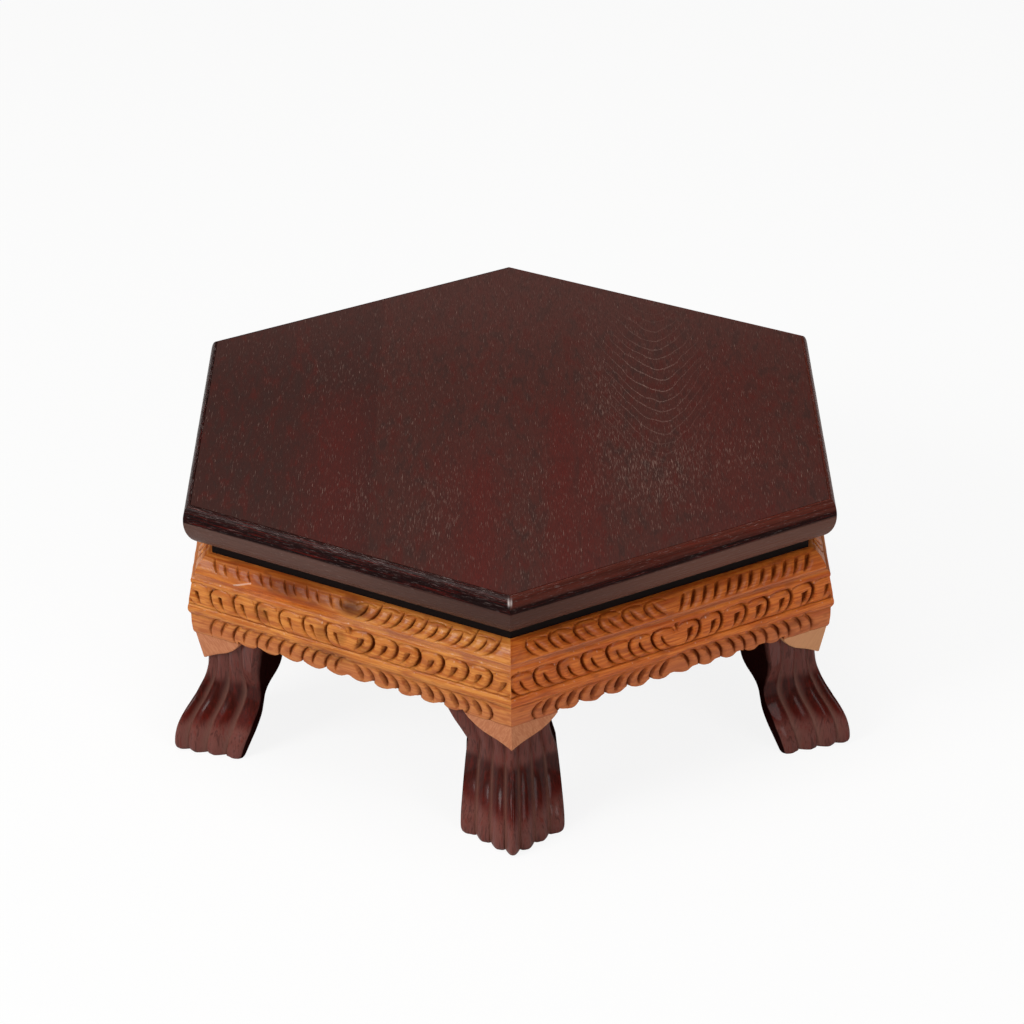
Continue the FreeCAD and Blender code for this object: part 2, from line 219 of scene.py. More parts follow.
def carved_teak():
    """Teak, carved by hand with gouges, then varnished: orange-brown with long soft streaks,
    redder in some boards, dark with stain, dust and painted shade in the cuts, and satin with
    small glints on the arrises, some of them painted highlights."""
    material, tree = new_material("carved_varnished_teak")
    grain = add(tree, "ShaderNodeAttribute", {"attribute_name": "grain"}).outputs["Vector"]
    hollow, mark, redness = (
        add(tree, "ShaderNodeAttribute", {"attribute_name": name}).outputs["Fac"]
        for name in ("hollow", "mark", "redness"))
    height = add(tree, "ShaderNodeSeparateXYZ", None, {0: grain}).outputs[2]
    # Growth rings 1.5 mm wide, drawn out to 33 mm along the rail
    rings = drawn_noise(tree, grain, (6, 110, 130), {"Detail": 3.0, "Distortion": 0.5})
    # Fibre 0.15 mm wide and 4 mm long
    fibre = drawn_noise(tree, grain, (45, 1300, 1300), {"Detail": 2.0, "Roughness": 0.6})
    # Patches of darker heartwood, 12 mm long and 4 mm high
    patch = drawn_noise(tree, grain, (16, 45, 55), {"Detail": 2.0}, (3, 1, 7))
    golden = glazed(tree, "#b05f1f", "#d48c40", rings, 0.30, 0.70, 1.0, SMOOTH)
    red = glazed(tree, "#b54c14", "#da7328", rings, 0.30, 0.70, 1.0, SMOOTH)
    varnished = add(tree, "ShaderNodeMix", COLOURS, {0: redness, 6: golden, 7: red})
    # The varnish is thinner and the wood pinker towards the lower edge
    thin = add(tree, "ShaderNodeMapRange", SMOOTH, {
        "Value": height, "From Min": 0.108, "From Max": 0.096, "To Max": 0.5})
    base = add(tree, "ShaderNodeMix", COLOURS, {0: thin, 6: varnished, 7: "#b56a43"})
    patched = glazed(tree, base, "#9a4a22", patch, 0.50, 0.70, 0.6, SMOOTH)
    fibred = glazed(tree, patched, "#7b3412", fibre, 0.50, 0.80, 0.25)
    # Stain, dust and painted shade in the cuts and corners, dark flaws, and pale marks: painted glints
    # on the arrises, painted light on the ledge and a splinter's pale sliver
    stained = glazed(tree, fibred, "#481405", hollow, 0.0, 1.0, 0.9)
    flawed = glazed(tree, stained, "#32120a", mark, 0.0, 1.0, 0.85)
    glints_and_pale_marks = glazed(tree, flawed, "#d8bfae", mark, 0.0, -1.0, 0.9)
    gloss = add(tree, "ShaderNodeMapRange", None, {"Value": thin, "To Min": 0.42, "To Max": 0.7})
    # Less shine in the cuts darkened by stain and painted shade, and on dark flaws
    dirt_and_shade = add(tree, "ShaderNodeMath", {"operation": "MAXIMUM"}, {0: hollow, 1: mark})
    specular, coat = (
        add(tree, "ShaderNodeMapRange", None, {"Value": dirt_and_shade, "To Min": most, "To Max": 0.02})
        for most in (0.18, 0.13))
    fine = add(tree, "ShaderNodeBump", None, {
        "Height": fibre, "Strength": 0.25, "Distance": 0.0002})
    bump = add(tree, "ShaderNodeBump", None, {
        "Height": rings, "Strength": 0.3, "Distance": 0.0006, "Normal": fine})
    return surfaced(material, {
        "Base Color": glints_and_pale_marks, "Roughness": gloss, "Specular IOR Level": specular,
        "Coat Weight": coat, "Coat Roughness": 0.06, "Normal": bump})


def dull_pendant():
    """Teak sawn and planed with its grain running down into the point, oiled thinly and left
    dull: paler and pinker than the carved boards, with fine hatching across the face."""
    material, tree = new_material("planed_oiled_teak")
    grain = add(tree, "ShaderNodeAttribute", {"attribute_name": "grain"}).outputs["Vector"]
    pale = add(tree, "ShaderNodeAttribute", {"attribute_name": "pale"}).outputs["Fac"]
    # Bands over a millimetre wide and 14 mm long, and hatching 0.13 mm wide
    rings = drawn_noise(tree, grain, (14, 170, 170), {"Detail": 3.0, "Distortion": 0.6})
    fibre = drawn_noise(tree, grain, (90, 1500, 1500), {"Detail": 2.0})
    base = glazed(tree, "#b6704b", "#c38059", rings, 0.38, 0.62, 1.0, SMOOTH)
    fibred = glazed(tree, base, "#915334", fibre, 0.45, 0.75, 0.2)
    colour = add(tree, "ShaderNodeMix", COLOURS, {0: pale, 6: fibred, 7: "#dda676"})
    bump = add(tree, "ShaderNodeBump", None, {
        "Height": fibre, "Strength": 0.3, "Distance": 0.0002})
    return surfaced(material, {
        "Base Color": colour, "Roughness": 0.65, "Specular IOR Level": 0.2, "Normal": bump})


def stained_leg():
    """Hardwood carved into reeds, stained maroon and polished: brown at the neck and the toes,
    nearly black with painted shade at the knee and on the sides and back, a painted red glow
    low on the knee, red where the stain is thin, with dust in the creases and small sharp
    highlights."""
    material, tree = new_material("maroon_stained_hardwood")
    grain = add(tree, "ShaderNodeAttribute", {"attribute_name": "grain"}).outputs["Vector"]
    hollow, level, side = (
        add(tree, "ShaderNodeAttribute", {"attribute_name": name}).outputs["Fac"]
        for name in ("hollow", "level", "side"))
    # Streaks of thick and thin stain 1.7 mm wide and 14 mm long, and fibre 0.2 mm wide
    streak = drawn_noise(tree, grain, (14, 120, 120), {"Detail": 2.0, "Distortion": 0.3})
    fibre = drawn_noise(tree, grain, (70, 1000, 1000), {"Detail": 2.0})
    # From the toes up to the knee and the neck, by height in millimetres; the dark knee is painted
    # shade, where its reeds would reflect the dark table above
    toe_to_shaded_knee = glazed(tree, "#6d3f38", "#3d130d", level, 17.0, 28.0, 1.0, SMOOTH)
    tone = glazed(tree, toe_to_shaded_knee, "#643730", level, 48.0, 56.0, 1.0, SMOOTH)
    reddened = glazed(tree, tone, "#64150c", streak, 0.52, 0.74, 0.45, SMOOTH)
    darkened = glazed(tree, reddened, "#1f0705", streak, 0.50, 0.34, 0.42, SMOOTH)
    # A painted red glow low on the knee
    painted_glow = glazed(tree, darkened, "#6c160c", bell(tree, level, 26.0, 6.0), 0.0, 1.0, 0.25)
    fibred = glazed(tree, painted_glow, "#1c0806", fibre, 0.50, 0.80, 0.18)
    dusty = glazed(tree, fibred, "#7a5449", hollow, 0.2, 0.9, 0.6)
    # Painted shade makes the sides and back nearly black and without shine
    colour = glazed(tree, dusty, "#0f0202", side, 0.0, 1.0, 0.95)
    gloss = add(tree, "ShaderNodeMapRange", None, {
        "Value": fibre, "From Min": 0.3, "From Max": 0.7, "To Min": 0.3, "To Max": 0.5})
    specular, coat = (
        add(tree, "ShaderNodeMapRange", None, {"Value": side, "To Min": most, "To Max": 0.0})
        for most in (0.06, 0.16))
    bump = add(tree, "ShaderNodeBump", None, {
        "Height": streak, "Strength": 0.35, "Distance": 0.0008})
    return surfaced(material, {
        "Base Color": colour, "Roughness": gloss, "Specular IOR Level": specular,
        "Coat Weight": coat, "Coat Roughness": 0.13, "Normal": bump})


def stained_edge(name, shoulder, middle, underside, dark_top, flecks):
    """Hardwood moulding planed to a round nose, stained and polished, with its light painted in:
    a painted highlight on the shoulder, painted shade nearly black above its widest line, a
    smooth grey-brown painted reflection of the floor under it, pale flecks of open pore and
    painted glints along the upper arris, and a painted highlight at the front mitre."""
    material, tree = new_material(name)
    grain = add(tree, "ShaderNodeAttribute", {"attribute_name": "grain"}).outputs["Vector"]
    reach, height = add(tree, "ShaderNodeSeparateXYZ", None, {0: grain}).outputs[1:3]
    # Streaks over a millimetre wide and 22 mm long
    streak = drawn_noise(tree, grain, (9, 160, 160), {"Detail": 3.0, "Distortion": 0.2})
    # Open pores 0.15 mm wide and a millimetre long
    pores = drawn_noise(tree, grain, (210, 1300, 1300), {"Detail": 1.0})
    # Red lines 0.2 mm wide and 3 mm long
    lines = drawn_noise(tree, grain, (60, 900, 900), {"Detail": 1.0}, (1, 2, 3))
    # The zones' bounds wander a little along the moulding
    lowered = add(tree, "ShaderNodeMath", {"operation": "SUBTRACT"}, {0: height, 1: 0.0012})
    wander = add(tree, "ShaderNodeMath", {"operation": "MULTIPLY_ADD"}, {
        0: streak, 1: 0.0024, 2: lowered})
    # Below the widest line, a painted reflection of the floor
    lower = add(tree, "ShaderNodeMapRange", SMOOTH, {
        "Value": wander, "From Min": 0.1768, "From Max": 0.1752})
    # Above it, a painted highlight on the shoulder over painted shade
    upper_highlight_and_shade = glazed(tree, middle, shoulder, wander, dark_top - 0.0013, dark_top + 0.0013,
                        1.0, SMOOTH)
    tone = add(tree, "ShaderNodeMix", COLOURS, {0: lower, 6: upper_highlight_and_shade, 7: underside})
    # Streaks, red lines and flecks keep to the upper zones
    clean = add(tree, "ShaderNodeMath", {"operation": "MULTIPLY_ADD"}, {0: lower, 1: -0.8, 2: 1.0})
    streaked = glazed(tree, tone, "#140403", streak, 0.35, 0.7, 0.5, SMOOTH, clean)
    lined = glazed(tree, streaked, "#74170b", lines, 0.60, 0.72, 0.7, None, clean)
    # More pale flecks along the upper arris, as painted glints over the open pores
    arris = add(tree, "ShaderNodeMapRange", SMOOTH, {
        "Value": reach, "From Min": 0.2200, "From Max": 0.2172, "To Min": 0.3 * flecks,
        "To Max": flecks})
    pore_value = add(tree, "ShaderNodeMath", {"operation": "MULTIPLY_ADD"}, {
        0: arris, 1: clean, 2: pores})
    flecked = glazed(tree, lined, "#a3918d", pore_value, 0.70, 0.78, 0.65)
    # Painted shade that darkens the underside near the front mitre, and a small painted highlight on
    # that mitre
    spot = add(tree, "ShaderNodeSeparateXYZ", None, {
        0: add(tree, "ShaderNodeTexCoord").outputs["Object"]})
    aside = add(tree, "ShaderNodeMath", {"operation": "ABSOLUTE"}, {0: spot.outputs[0]})
    shaded = glazed(tree, flecked, "#331d18", aside, 0.14, 0.01, 0.55, SMOOTH, lower)
    glints_and_pale_marks = hill(tree, aside, spot.outputs[2], 0.0008, 0.1843, 0.0006, 0.0018)
    in_front = add(tree, "ShaderNodeMath", {"operation": "LESS_THAN"}, {0: spot.outputs[1], 1: -0.2})
    colour = glazed(tree, shaded, "#dccfcb", glints_and_pale_marks, 0.0, 1.0, 0.75, None, in_front)
    gloss = add(tree, "ShaderNodeMapRange", None, {
        "Value": streak, "From Min": 0.3, "From Max": 0.7, "To Min": 0.22, "To Max": 0.34})
    bump = add(tree, "ShaderNodeBump", {"invert": True}, {
        "Height": pores, "Strength": 0.5, "Distance": 0.0004})
    return surfaced(material, {
        "Base Color": colour, "Roughness": gloss, "Specular IOR Level": 0.03,
        "Coat Weight": 0.04, "Coat Roughness": 0.08, "Normal": bump})


def stained_board(name, tone, arched, pore_zones, red_stripes):
    """Open-pored hardwood board, stained dark red-brown and rubbed to a low shine: soft red and
    grey-brown streaks, rings in one plain-sawn board, and short pores filled with pale polish
    where the fibre runs out of the face."""
    material, tree = new_material(name)
    spot = add(tree, "ShaderNodeTexCoord").outputs["Object"]
    across, along = add(tree, "ShaderNodeSeparateXYZ", None, {0: spot}).outputs[:2]
    # Clouds of stain 6 mm wide and 22 mm long
    cloud = drawn_noise(tree, spot, (34, 9, 34), {"Detail": 3.0, "Distortion": 0.4})
    clouded = glazed(tree, tone, "#51170f", cloud, 0.52, 0.68, 0.6, SMOOTH)
    dulled = glazed(tree, clouded, "#36201b", cloud, 0.48, 0.34, 0.6, SMOOTH)
    # Lighter and greyer towards the back
    base = glazed(tree, dulled, "#60403a", along, 0.02, 0.25, 0.4, SMOOTH)
    for centre, width, start, strength in red_stripes:
        base = glazed(tree, base, "#5b150e", along, start, start - 0.09, strength, SMOOTH,
                      bell(tree, across, centre, width))
    # Fibre 0.4 mm wide and 7 mm long, lighter and darker by turns
    fibre = drawn_noise(tree, spot, (480, 30, 480), {"Detail": 2.0})
    base = glazed(tree, base, "#2c120e", fibre, 0.40, 0.70, 0.5)
    if arched:
        base = arched_rings(tree, base, spot, across, along)
    # Single pores 0.25 mm wide and 7 mm long, most of them in zones of the board
    pores = drawn_noise(tree, spot, (820, 27, 820), {"Detail": 0.0}, (0.3, 0.1, 0))
    pore_value = pores
    for x, y, half_width, half_length, strength in pore_zones:
        pore_value = add(tree, "ShaderNodeMath", {"operation": "MULTIPLY_ADD"}, {
            0: hill(tree, across, along, x, y, half_width, half_length), 1: strength,
            2: pore_value})
    colour = glazed(tree, base, "#9c8074", pore_value, 0.735, 0.89, 0.7)
    bump = add(tree, "ShaderNodeBump", {"invert": True}, {
        "Height": pores, "Strength": 0.12, "Distance": 0.0002})
    return surfaced(material, {
        "Base Color": colour, "Roughness": 0.42, "Specular IOR Level": 0.4, "Normal": bump})


def arched_rings(tree, base, spot, across, along):
    """Rings of a plain-sawn board, 16 mm apart: tongues that point to the front, drawn by thin
    broken lines of pores."""
    # The rings wander over 20 to 50 mm, and break every millimetre or so
    warp = drawn_noise(tree, spot, (9, 4, 9), {"Detail": 2.0})
    broken = drawn_noise(tree, spot, (260, 200, 260), {"Detail": 2.0})
    aside = add(tree, "ShaderNodeMath", {"operation": "SUBTRACT"}, {0: across, 1: 0.106})
    square = add(tree, "ShaderNodeMath", {"operation": "MULTIPLY_ADD"}, {
        0: aside, 1: aside, 2: 0.00073})
    flank = add(tree, "ShaderNodeMath", {"operation": "SQRT"}, {0: square})
    run = add(tree, "ShaderNodeMath", {"operation": "MULTIPLY"}, {0: along, 1: 393.0})
    arch = add(tree, "ShaderNodeMath", {"operation": "MULTIPLY_ADD"}, {0: flank, 1: -1376.0, 2: run})
    phase = add(tree, "ShaderNodeMath", {"operation": "MULTIPLY_ADD"}, {0: warp, 1: 9.0, 2: arch})
    wave = add(tree, "ShaderNodeMath", {"operation": "SINE"}, {0: phase})
    line = add(tree, "ShaderNodeMath", {"operation": "MULTIPLY_ADD"}, {0: broken, 1: 0.5, 2: wave})
    return glazed(tree, base, "#93756b", line, 1.18, 1.32, 0.7, None,
                  hill(tree, across, along, 0.100, 0.05, 0.032, 0.09))


def planed_teak(angle):
    """Teak planed smooth and left bare, for what is hidden under the top."""
    material, tree = new_material(f"planed_bare_teak_{angle}")
    turn = add(tree, "ShaderNodeMapping", None, {
        "Vector": add(tree, "ShaderNodeTexCoord").outputs["Object"],
        "Rotation": (0, 0, math.radians(-angle))})
    # Rings over a millimetre wide and 25 mm long, and fibre a tenth of that
    rings = drawn_noise(tree, turn, (8, 160, 160), {"Detail": 3.0, "Distortion": 0.3})
    fibre = drawn_noise(tree, turn, (80, 1800, 1800), {"Detail": 2.0})
    base = glazed(tree, "#9a6c40", "#bb9060", rings, 0.38, 0.64, 1.0, SMOOTH)
    colour = add(tree, "ShaderNodeMix", {**COLOURS, "blend_type": "MULTIPLY"}, {
        0: 0.35, 6: base, 7: fibre.outputs["Color"]})
    bump = add(tree, "ShaderNodeBump", None, {
        "Height": fibre, "Strength": 0.3, "Distance": 0.0002})
    return surfaced(material, {"Base Color": colour, "Roughness": 0.62, "Normal": bump})


def shadow_coloured_frame():
    """Softwood strip brushed with dark stain and left dull, nearly black as painted shadow in the gap
    under the top.
    """
    material, tree = new_material("strip_coloured_as_shadow")
    spot = add(tree, "ShaderNodeTexCoord").outputs["Object"]
    # Brush strokes 3 mm long and 0.3 mm high
    brush = drawn_noise(tree, spot, (60, 60, 700), {"Detail": 3.0})
    colour = add(tree, "ShaderNodeMix", COLOURS, {0: brush, 6: "#080302", 7: "#140806"})
    return surfaced(material, {
        "Base Color": colour, "Roughness": 0.8, "Specular IOR Level": 0.15})


def screw_steel():
    """Plain steel wood screws, turned and slotted: dull bright metal with a little rust."""
    material, tree = new_material("plain_turned_steel")
    # Spots of rust about a millimetre wide
    spots = add(tree, "ShaderNodeTexNoise", None, {
        "Vector": add(tree, "ShaderNodeTexCoord").outputs["Object"], "Scale": 900.0,
        "Detail": 3.0})
    colour = glazed(tree, "#9c9a95", "#5d3a24", spots, 0.56, 0.70, 0.7, SMOOTH)
    rough = add(tree, "ShaderNodeMapRange", None, {
        "Value": spots, "From Min": 0.3, "From Max": 0.7, "To Min": 0.32, "To Max": 0.6})
    return surfaced(material, {"Base Color": colour, "Roughness": rough, "Metallic": 1.0})


TEAK = carved_teak()
PENDANT = dull_pendant()
LEG = stained_leg()
# Three tones from the arris down: painted highlight, painted shade and painted reflection of the
# floor; the top of the dark zone in metres, and how many flecks
DARK_EDGE = stained_edge("dark_stained_moulding", "#291513", "#140101", "#5b423b", 0.1835, 0.07)
BROWN_EDGE = stained_edge("brown_stained_moulding", "#5a2c23", "#1c0503", "#69483e", 0.1805, 0.03)
STEEL = screw_steel()


# Edge moulding, made by running its section along each side

def quarter(start, corner, end, steps):
    """Points of a quarter ellipse from start to end, bending round a corner."""
    start, corner, end = (np.array(p, float) for p in (start, corner, end))
    angles = np.linspace(0, math.pi / 2, steps + 1)[:, None]
    centre = start + end - corner
    return centre + (start - centre) * np.cos(angles) + (end - centre) * np.sin(angles)


def edge_section():
    """Section of the moulding as reach and height: from a small bevel beside the boards over
    the round nose and its rounded underside to the rebate that takes the boards."""
    bevel = 0.5
    nose = quarter((BOARD_REACH + bevel, TABLE_HEIGHT), (HALF_FLAT, TABLE_HEIGHT),
                   (HALF_FLAT, NOSE_HEIGHT), 14)
    under = quarter((HALF_FLAT, NOSE_HEIGHT), (HALF_FLAT, TOP_UNDER),
                    (NOSE_UNDERCUT_REACH, TOP_UNDER), 16)
    return np.vstack([[(BOARD_REACH, TABLE_HEIGHT - bevel)], nose, under[1:],
                      [(NECK_INNER, TOP_UNDER), (NECK_INNER, BOARDS_UNDER),
                       (BOARD_REACH, BOARDS_UNDER)]])


def socket(tree, name, kind, value=None):
    """An input that a node tree offers, with the value that it starts with."""
    item = tree.interface.new_socket(name=name, in_out="INPUT", socket_type=kind)
    if value is not None:
        item.default_value = value


def moulding_tree():
    """Runs a section along one side of the table and mitres both ends."""
    tree = bpy.data.node_groups.new("mitred_moulding", "GeometryNodeTree")
    socket(tree, "Section", "NodeSocketGeometry")
    socket(tree, "Turn", "NodeSocketVector", (0, 0, 0))
    socket(tree, "Mitre Slope", "NodeSocketFloat", TAN_30)
    socket(tree, "Stations", "NodeSocketInt", 40)
    socket(tree, "Hand Planing", "NodeSocketFloat", 0.00012)
    socket(tree, "Board", "NodeSocketFloat", 0.0)
    socket(tree, "Material", "NodeSocketMaterial")
    tree.interface.new_socket(name="Moulding", in_out="OUTPUT",
                              socket_type="NodeSocketGeometry")
    given = add(tree, "NodeGroupInput")
    section = add(tree, "GeometryNodeMeshToCurve", None, {"Mesh": given.outputs["Section"]})
    path = add(tree, "GeometryNodeCurvePrimitiveLine", None, {
        "Start": (0, -1, 0), "End": (0, 1, 0)})
    stations = add(tree, "GeometryNodeResampleCurve", None, {
        "Curve": path, "Count": given.outputs["Stations"]})
    bar = add(tree, "GeometryNodeCurveToMesh", None, {
        "Curve": stations, "Profile Curve": section, "Fill Caps": True})
    spot = add(tree, "ShaderNodeSeparateXYZ", None, {0: add(tree, "GeometryNodeInputPosition")})
    wave = add(tree, "ShaderNodeTexNoise", {"noise_dimensions": "4D", "normalize": False}, {
        "Vector": add(tree, "GeometryNodeInputPosition"), "W": given.outputs["Board"],
        "Scale": 2.2, "Detail": 1.0})
    # The planing leaves small waves, except at the mitres, where both pieces must meet
    square = add(tree, "ShaderNodeMath", {"operation": "MULTIPLY"}, {
        0: spot.outputs[1], 1: spot.outputs[1]})
    inside = add(tree, "ShaderNodeMath", {"operation": "SUBTRACT"}, {0: 1.0, 1: square})
    swing = add(tree, "ShaderNodeMath", {"operation": "MULTIPLY"}, {
        0: inside, 1: given.outputs["Hand Planing"]})
    plane = add(tree, "ShaderNodeMath", {"operation": "MULTIPLY"}, {
        0: swing, 1: add(tree, "ShaderNodeMath", {"operation": "ABSOLUTE"}, {0: wave})})
    reach = add(tree, "ShaderNodeMath", {"operation": "SUBTRACT"}, {
        0: spot.outputs[0], 1: plane})
    slope = add(tree, "ShaderNodeMath", {"operation": "MULTIPLY"}, {
        0: spot.outputs[1], 1: given.outputs["Mitre Slope"]})
    along = add(tree, "ShaderNodeMath", {"operation": "MULTIPLY"}, {0: slope, 1: reach})
    mitred = add(tree, "GeometryNodeSetPosition", None, {
        "Geometry": bar, "Position": add(tree, "ShaderNodeCombineXYZ", None, {
            0: reach, 1: along, 2: spot.outputs[2]})})
    grain = add(tree, "ShaderNodeCombineXYZ", None, {
        0: add(tree, "ShaderNodeMath", {"operation": "ADD"}, {
            0: along, 1: given.outputs["Board"]}), 1: reach, 2: spot.outputs[2]})
    noted = add(tree, "GeometryNodeStoreNamedAttribute", {
        "data_type": "FLOAT_VECTOR", "domain": "POINT"}, {
        "Geometry": mitred, "Name": "grain", "Value": grain})
    turned_round = add(tree, "GeometryNodeTransform", None, {
        "Geometry": noted, "Rotation": given.outputs["Turn"]})
    real = add(tree, "GeometryNodeRealizeInstances", None, {"Geometry": turned_round})
    finished = add(tree, "GeometryNodeSetMaterial", None, {
        "Geometry": real, "Material": given.outputs["Material"]})
    add(tree, "NodeGroupOutput", None, {"Moulding": finished})
    return tree


def grown(name, base, tree, values, crease_angle):
    """A mesh object made by a node tree from a base mesh, with the tree's inputs set."""
    holder = bpy.data.objects.new(name + "_base", base)
    bpy.context.scene.collection.objects.link(holder)
    modifier = holder.modifiers.new("made", "NODES")
    modifier.node_group = tree
    for item in tree.interface.items_tree:
        if item.in_out == "INPUT" and item.name in values:
            modifier[item.identifier] = values[item.name]
    graph = bpy.context.evaluated_depsgraph_get()
    mesh = bpy.data.meshes.new_from_object(holder.evaluated_get(graph))
    bpy.data.objects.remove(holder)
    mesh.name = name
    return finished_piece(name, mesh, crease_angle)


def edge_mouldings():
    """Six lengths round the top, darker on the left side than on the right."""
    tree = moulding_tree()
    section = edge_section() * MM
    base = bpy.data.meshes.new("edge_section")
    count = len(section)
    sides = [(i, (i + 1) % count) for i in range(count)]
    base.from_pydata([(x, -y, 0) for x, y in section], sides, [])
    for number, (name, angle) in enumerate(FACES.items()):
        piece = grown("edge_" + name, base, tree, {
            "Turn": (0, 0, math.radians(angle)), "Board": 1.7 * number,
            "Material": DARK_EDGE if "left" in name else BROWN_EDGE}, 30)
        place(piece, "stained_edge", "edge_moulding_" + name)


edge_mouldings()


# Screws, set in by a node tree that turns each slot its own way

# Sizes that all the screws share, in millimetres
SCREW = {"Diameter": 3.5, "Head Diameter": 7.0, "Head Height": 2.4, "Point Length": 3.5,
         "Slot Width": 1.0, "Slot Depth": 1.1}
# How each group is set: its length, and its distances from an edge, a middle or a top in
# millimetres
BATTEN_SCREW_LENGTH = 30
BATTEN_SCREW_EDGE = 11
TOP_SCREW_LENGTH = 19
TOP_SCREW_SPREAD = 22
NECK_SCREW_LENGTH = 32
NECK_SCREW_SPREAD = 60
NECK_SCREW_EDGE = 3.5
BRACE_SCREW_LENGTH = 22
BRACE_SCREW_SEAT = 2.4
LEG_SCREW_LENGTH = 30
LEG_SCREW_EDGE = 10


def screw_tree():
    """A slotted countersunk screw on every point, driven along the point's aim."""
    tree = bpy.data.node_groups.new("driven_screws", "GeometryNodeTree")
    socket(tree, "Places", "NodeSocketGeometry")
    for name, size in SCREW.items():
        socket(tree, name, "NodeSocketFloat", size * MM)
    socket(tree, "Length", "NodeSocketFloat", 30 * MM)
    socket(tree, "Seed", "NodeSocketInt", 1)
    socket(tree, "Material", "NodeSocketMaterial")
    tree.interface.new_socket(name="Screws", in_out="OUTPUT", socket_type="NodeSocketGeometry")
    given = add(tree, "NodeGroupInput")
    shank = add(tree, "ShaderNodeMath", {"operation": "MULTIPLY"}, {
        0: given.outputs["Diameter"], 1: 0.5})
    head = add(tree, "ShaderNodeMath", {"operation": "MULTIPLY"}, {
        0: given.outputs["Head Diameter"], 1: 0.5})
    cone = add(tree, "GeometryNodeMeshCone", None, {
        "Vertices": 20, "Radius Top": shank, "Radius Bottom": head,
        "Depth": given.outputs["Head Height"]})
    slot_depth = add(tree, "ShaderNodeMath", {"operation": "MULTIPLY"}, {
        0: given.outputs["Slot Depth"], 1: 2.0})
    slot_length = add(tree, "ShaderNodeMath", {"operation": "MULTIPLY"}, {
        0: given.outputs["Head Diameter"], 1: 1.2})
    slot = add(tree, "GeometryNodeMeshCube", None, {
        "Size": add(tree, "ShaderNodeCombineXYZ", None, {
            0: slot_length, 1: given.outputs["Slot Width"], 2: slot_depth})})
    slotted = add(tree, "GeometryNodeMeshBoolean", {"operation": "DIFFERENCE"}, {
        "Mesh 1": cone.outputs["Mesh"], "Mesh 2": slot.outputs["Mesh"]})
    tip_start = add(tree, "ShaderNodeMath", {"operation": "SUBTRACT"}, {
        0: given.outputs["Length"], 1: given.outputs["Point Length"]})
    shank_length = add(tree, "ShaderNodeMath", {"operation": "SUBTRACT"}, {
        0: tip_start, 1: given.outputs["Head Height"]})
    shank_middle = add(tree, "ShaderNodeMath", {"operation": "MULTIPLY_ADD"}, {
        0: shank_length, 1: 0.5, 2: given.outputs["Head Height"]})
    bar = add(tree, "GeometryNodeMeshCylinder", None, {
        "Vertices": 12, "Radius": shank, "Depth": shank_length})
    bar_up = add(tree, "GeometryNodeTransform", None, {
        "Geometry": bar.outputs["Mesh"], "Translation": add(
            tree, "ShaderNodeCombineXYZ", None, {2: shank_middle})})
    tip = add(tree, "GeometryNodeMeshCone", None, {
        "Vertices": 12, "Radius Top": 0.0, "Radius Bottom": shank,
        "Depth": given.outputs["Point Length"]})
    tip_up = add(tree, "GeometryNodeTransform", None, {
        "Geometry": tip.outputs["Mesh"], "Translation": add(
            tree, "ShaderNodeCombineXYZ", None, {2: tip_start})})
    whole = add(tree, "GeometryNodeJoinGeometry")
    for part in (slotted, bar_up, tip_up):
        tree.links.new(part.outputs[0], whole.inputs[0])
    aim = add(tree, "GeometryNodeInputNamedAttribute", {"data_type": "FLOAT_VECTOR"}, {
        "Name": "aim"})
    lined_up = add(tree, "FunctionNodeAlignRotationToVector", {"axis": "Z"}, {
        "Vector": aim.outputs["Attribute"]})
    spin = add(tree, "FunctionNodeRandomValue", {"data_type": "FLOAT"}, {
        2: 0.0, 3: math.pi, "Seed": given.outputs["Seed"]})
    spin_turn = add(tree, "FunctionNodeAxisAngleToRotation", None, {
        "Axis": (0, 0, 1), "Angle": spin.outputs[1]})
    turn = add(tree, "FunctionNodeRotateRotation", {"rotation_space": "LOCAL"}, {
        "Rotation": lined_up, "Rotate By": spin_turn})
    set_in = add(tree, "GeometryNodeInstanceOnPoints", None, {
        "Points": given.outputs["Places"], "Instance": whole, "Rotation": turn})
    real = add(tree, "GeometryNodeRealizeInstances", None, {"Geometry": set_in})
    finished = add(tree, "GeometryNodeSetMaterial", None, {
        "Geometry": real, "Material": given.outputs["Material"]})
    add(tree, "NodeGroupOutput", None, {"Screws": finished})
    return tree


def round_table(places, angles):
    """The same places on every side or corner: each place is a head and an aim."""
    result = []
    for angle in angles.values():
        for head, aim in places:
            result.append((turned([head], angle)[0], turned([aim], angle)[0]))
    return result


def batten_screw_places():
    """Two screws through each batten into every board, one near each of its joints."""
    half = NECK_INNER - BATTEN_SHORTFALL
    return [((along, row, BOARDS_UNDER - BATTEN_THICKNESS), (0, 0, 1))
            for row in (-BATTEN_CENTRE, BATTEN_CENTRE)
            for start, end in zip(BOARD_JOINTS, BOARD_JOINTS[1:])
            for along in (max(start, -half) + BATTEN_SCREW_EDGE,
                          min(end, half) - BATTEN_SCREW_EDGE)]


def brace_screw_place(side):
    """A screw from inside through one end of a brace, square to the apron board behind it."""
    middle = BACK_REACH - BRACE_THICKNESS / 2
    aim = turned([(1, 0, 0)], 30 * side)[0]
    end = np.array([middle, side * (APRON_CORNER - middle) * TAN_60,
                    APRON_TOP - BRACE_HEIGHT / 2])
    return end - aim * (BRACE_THICKNESS / 2 / COS_30 - BRACE_SCREW_SEAT), aim


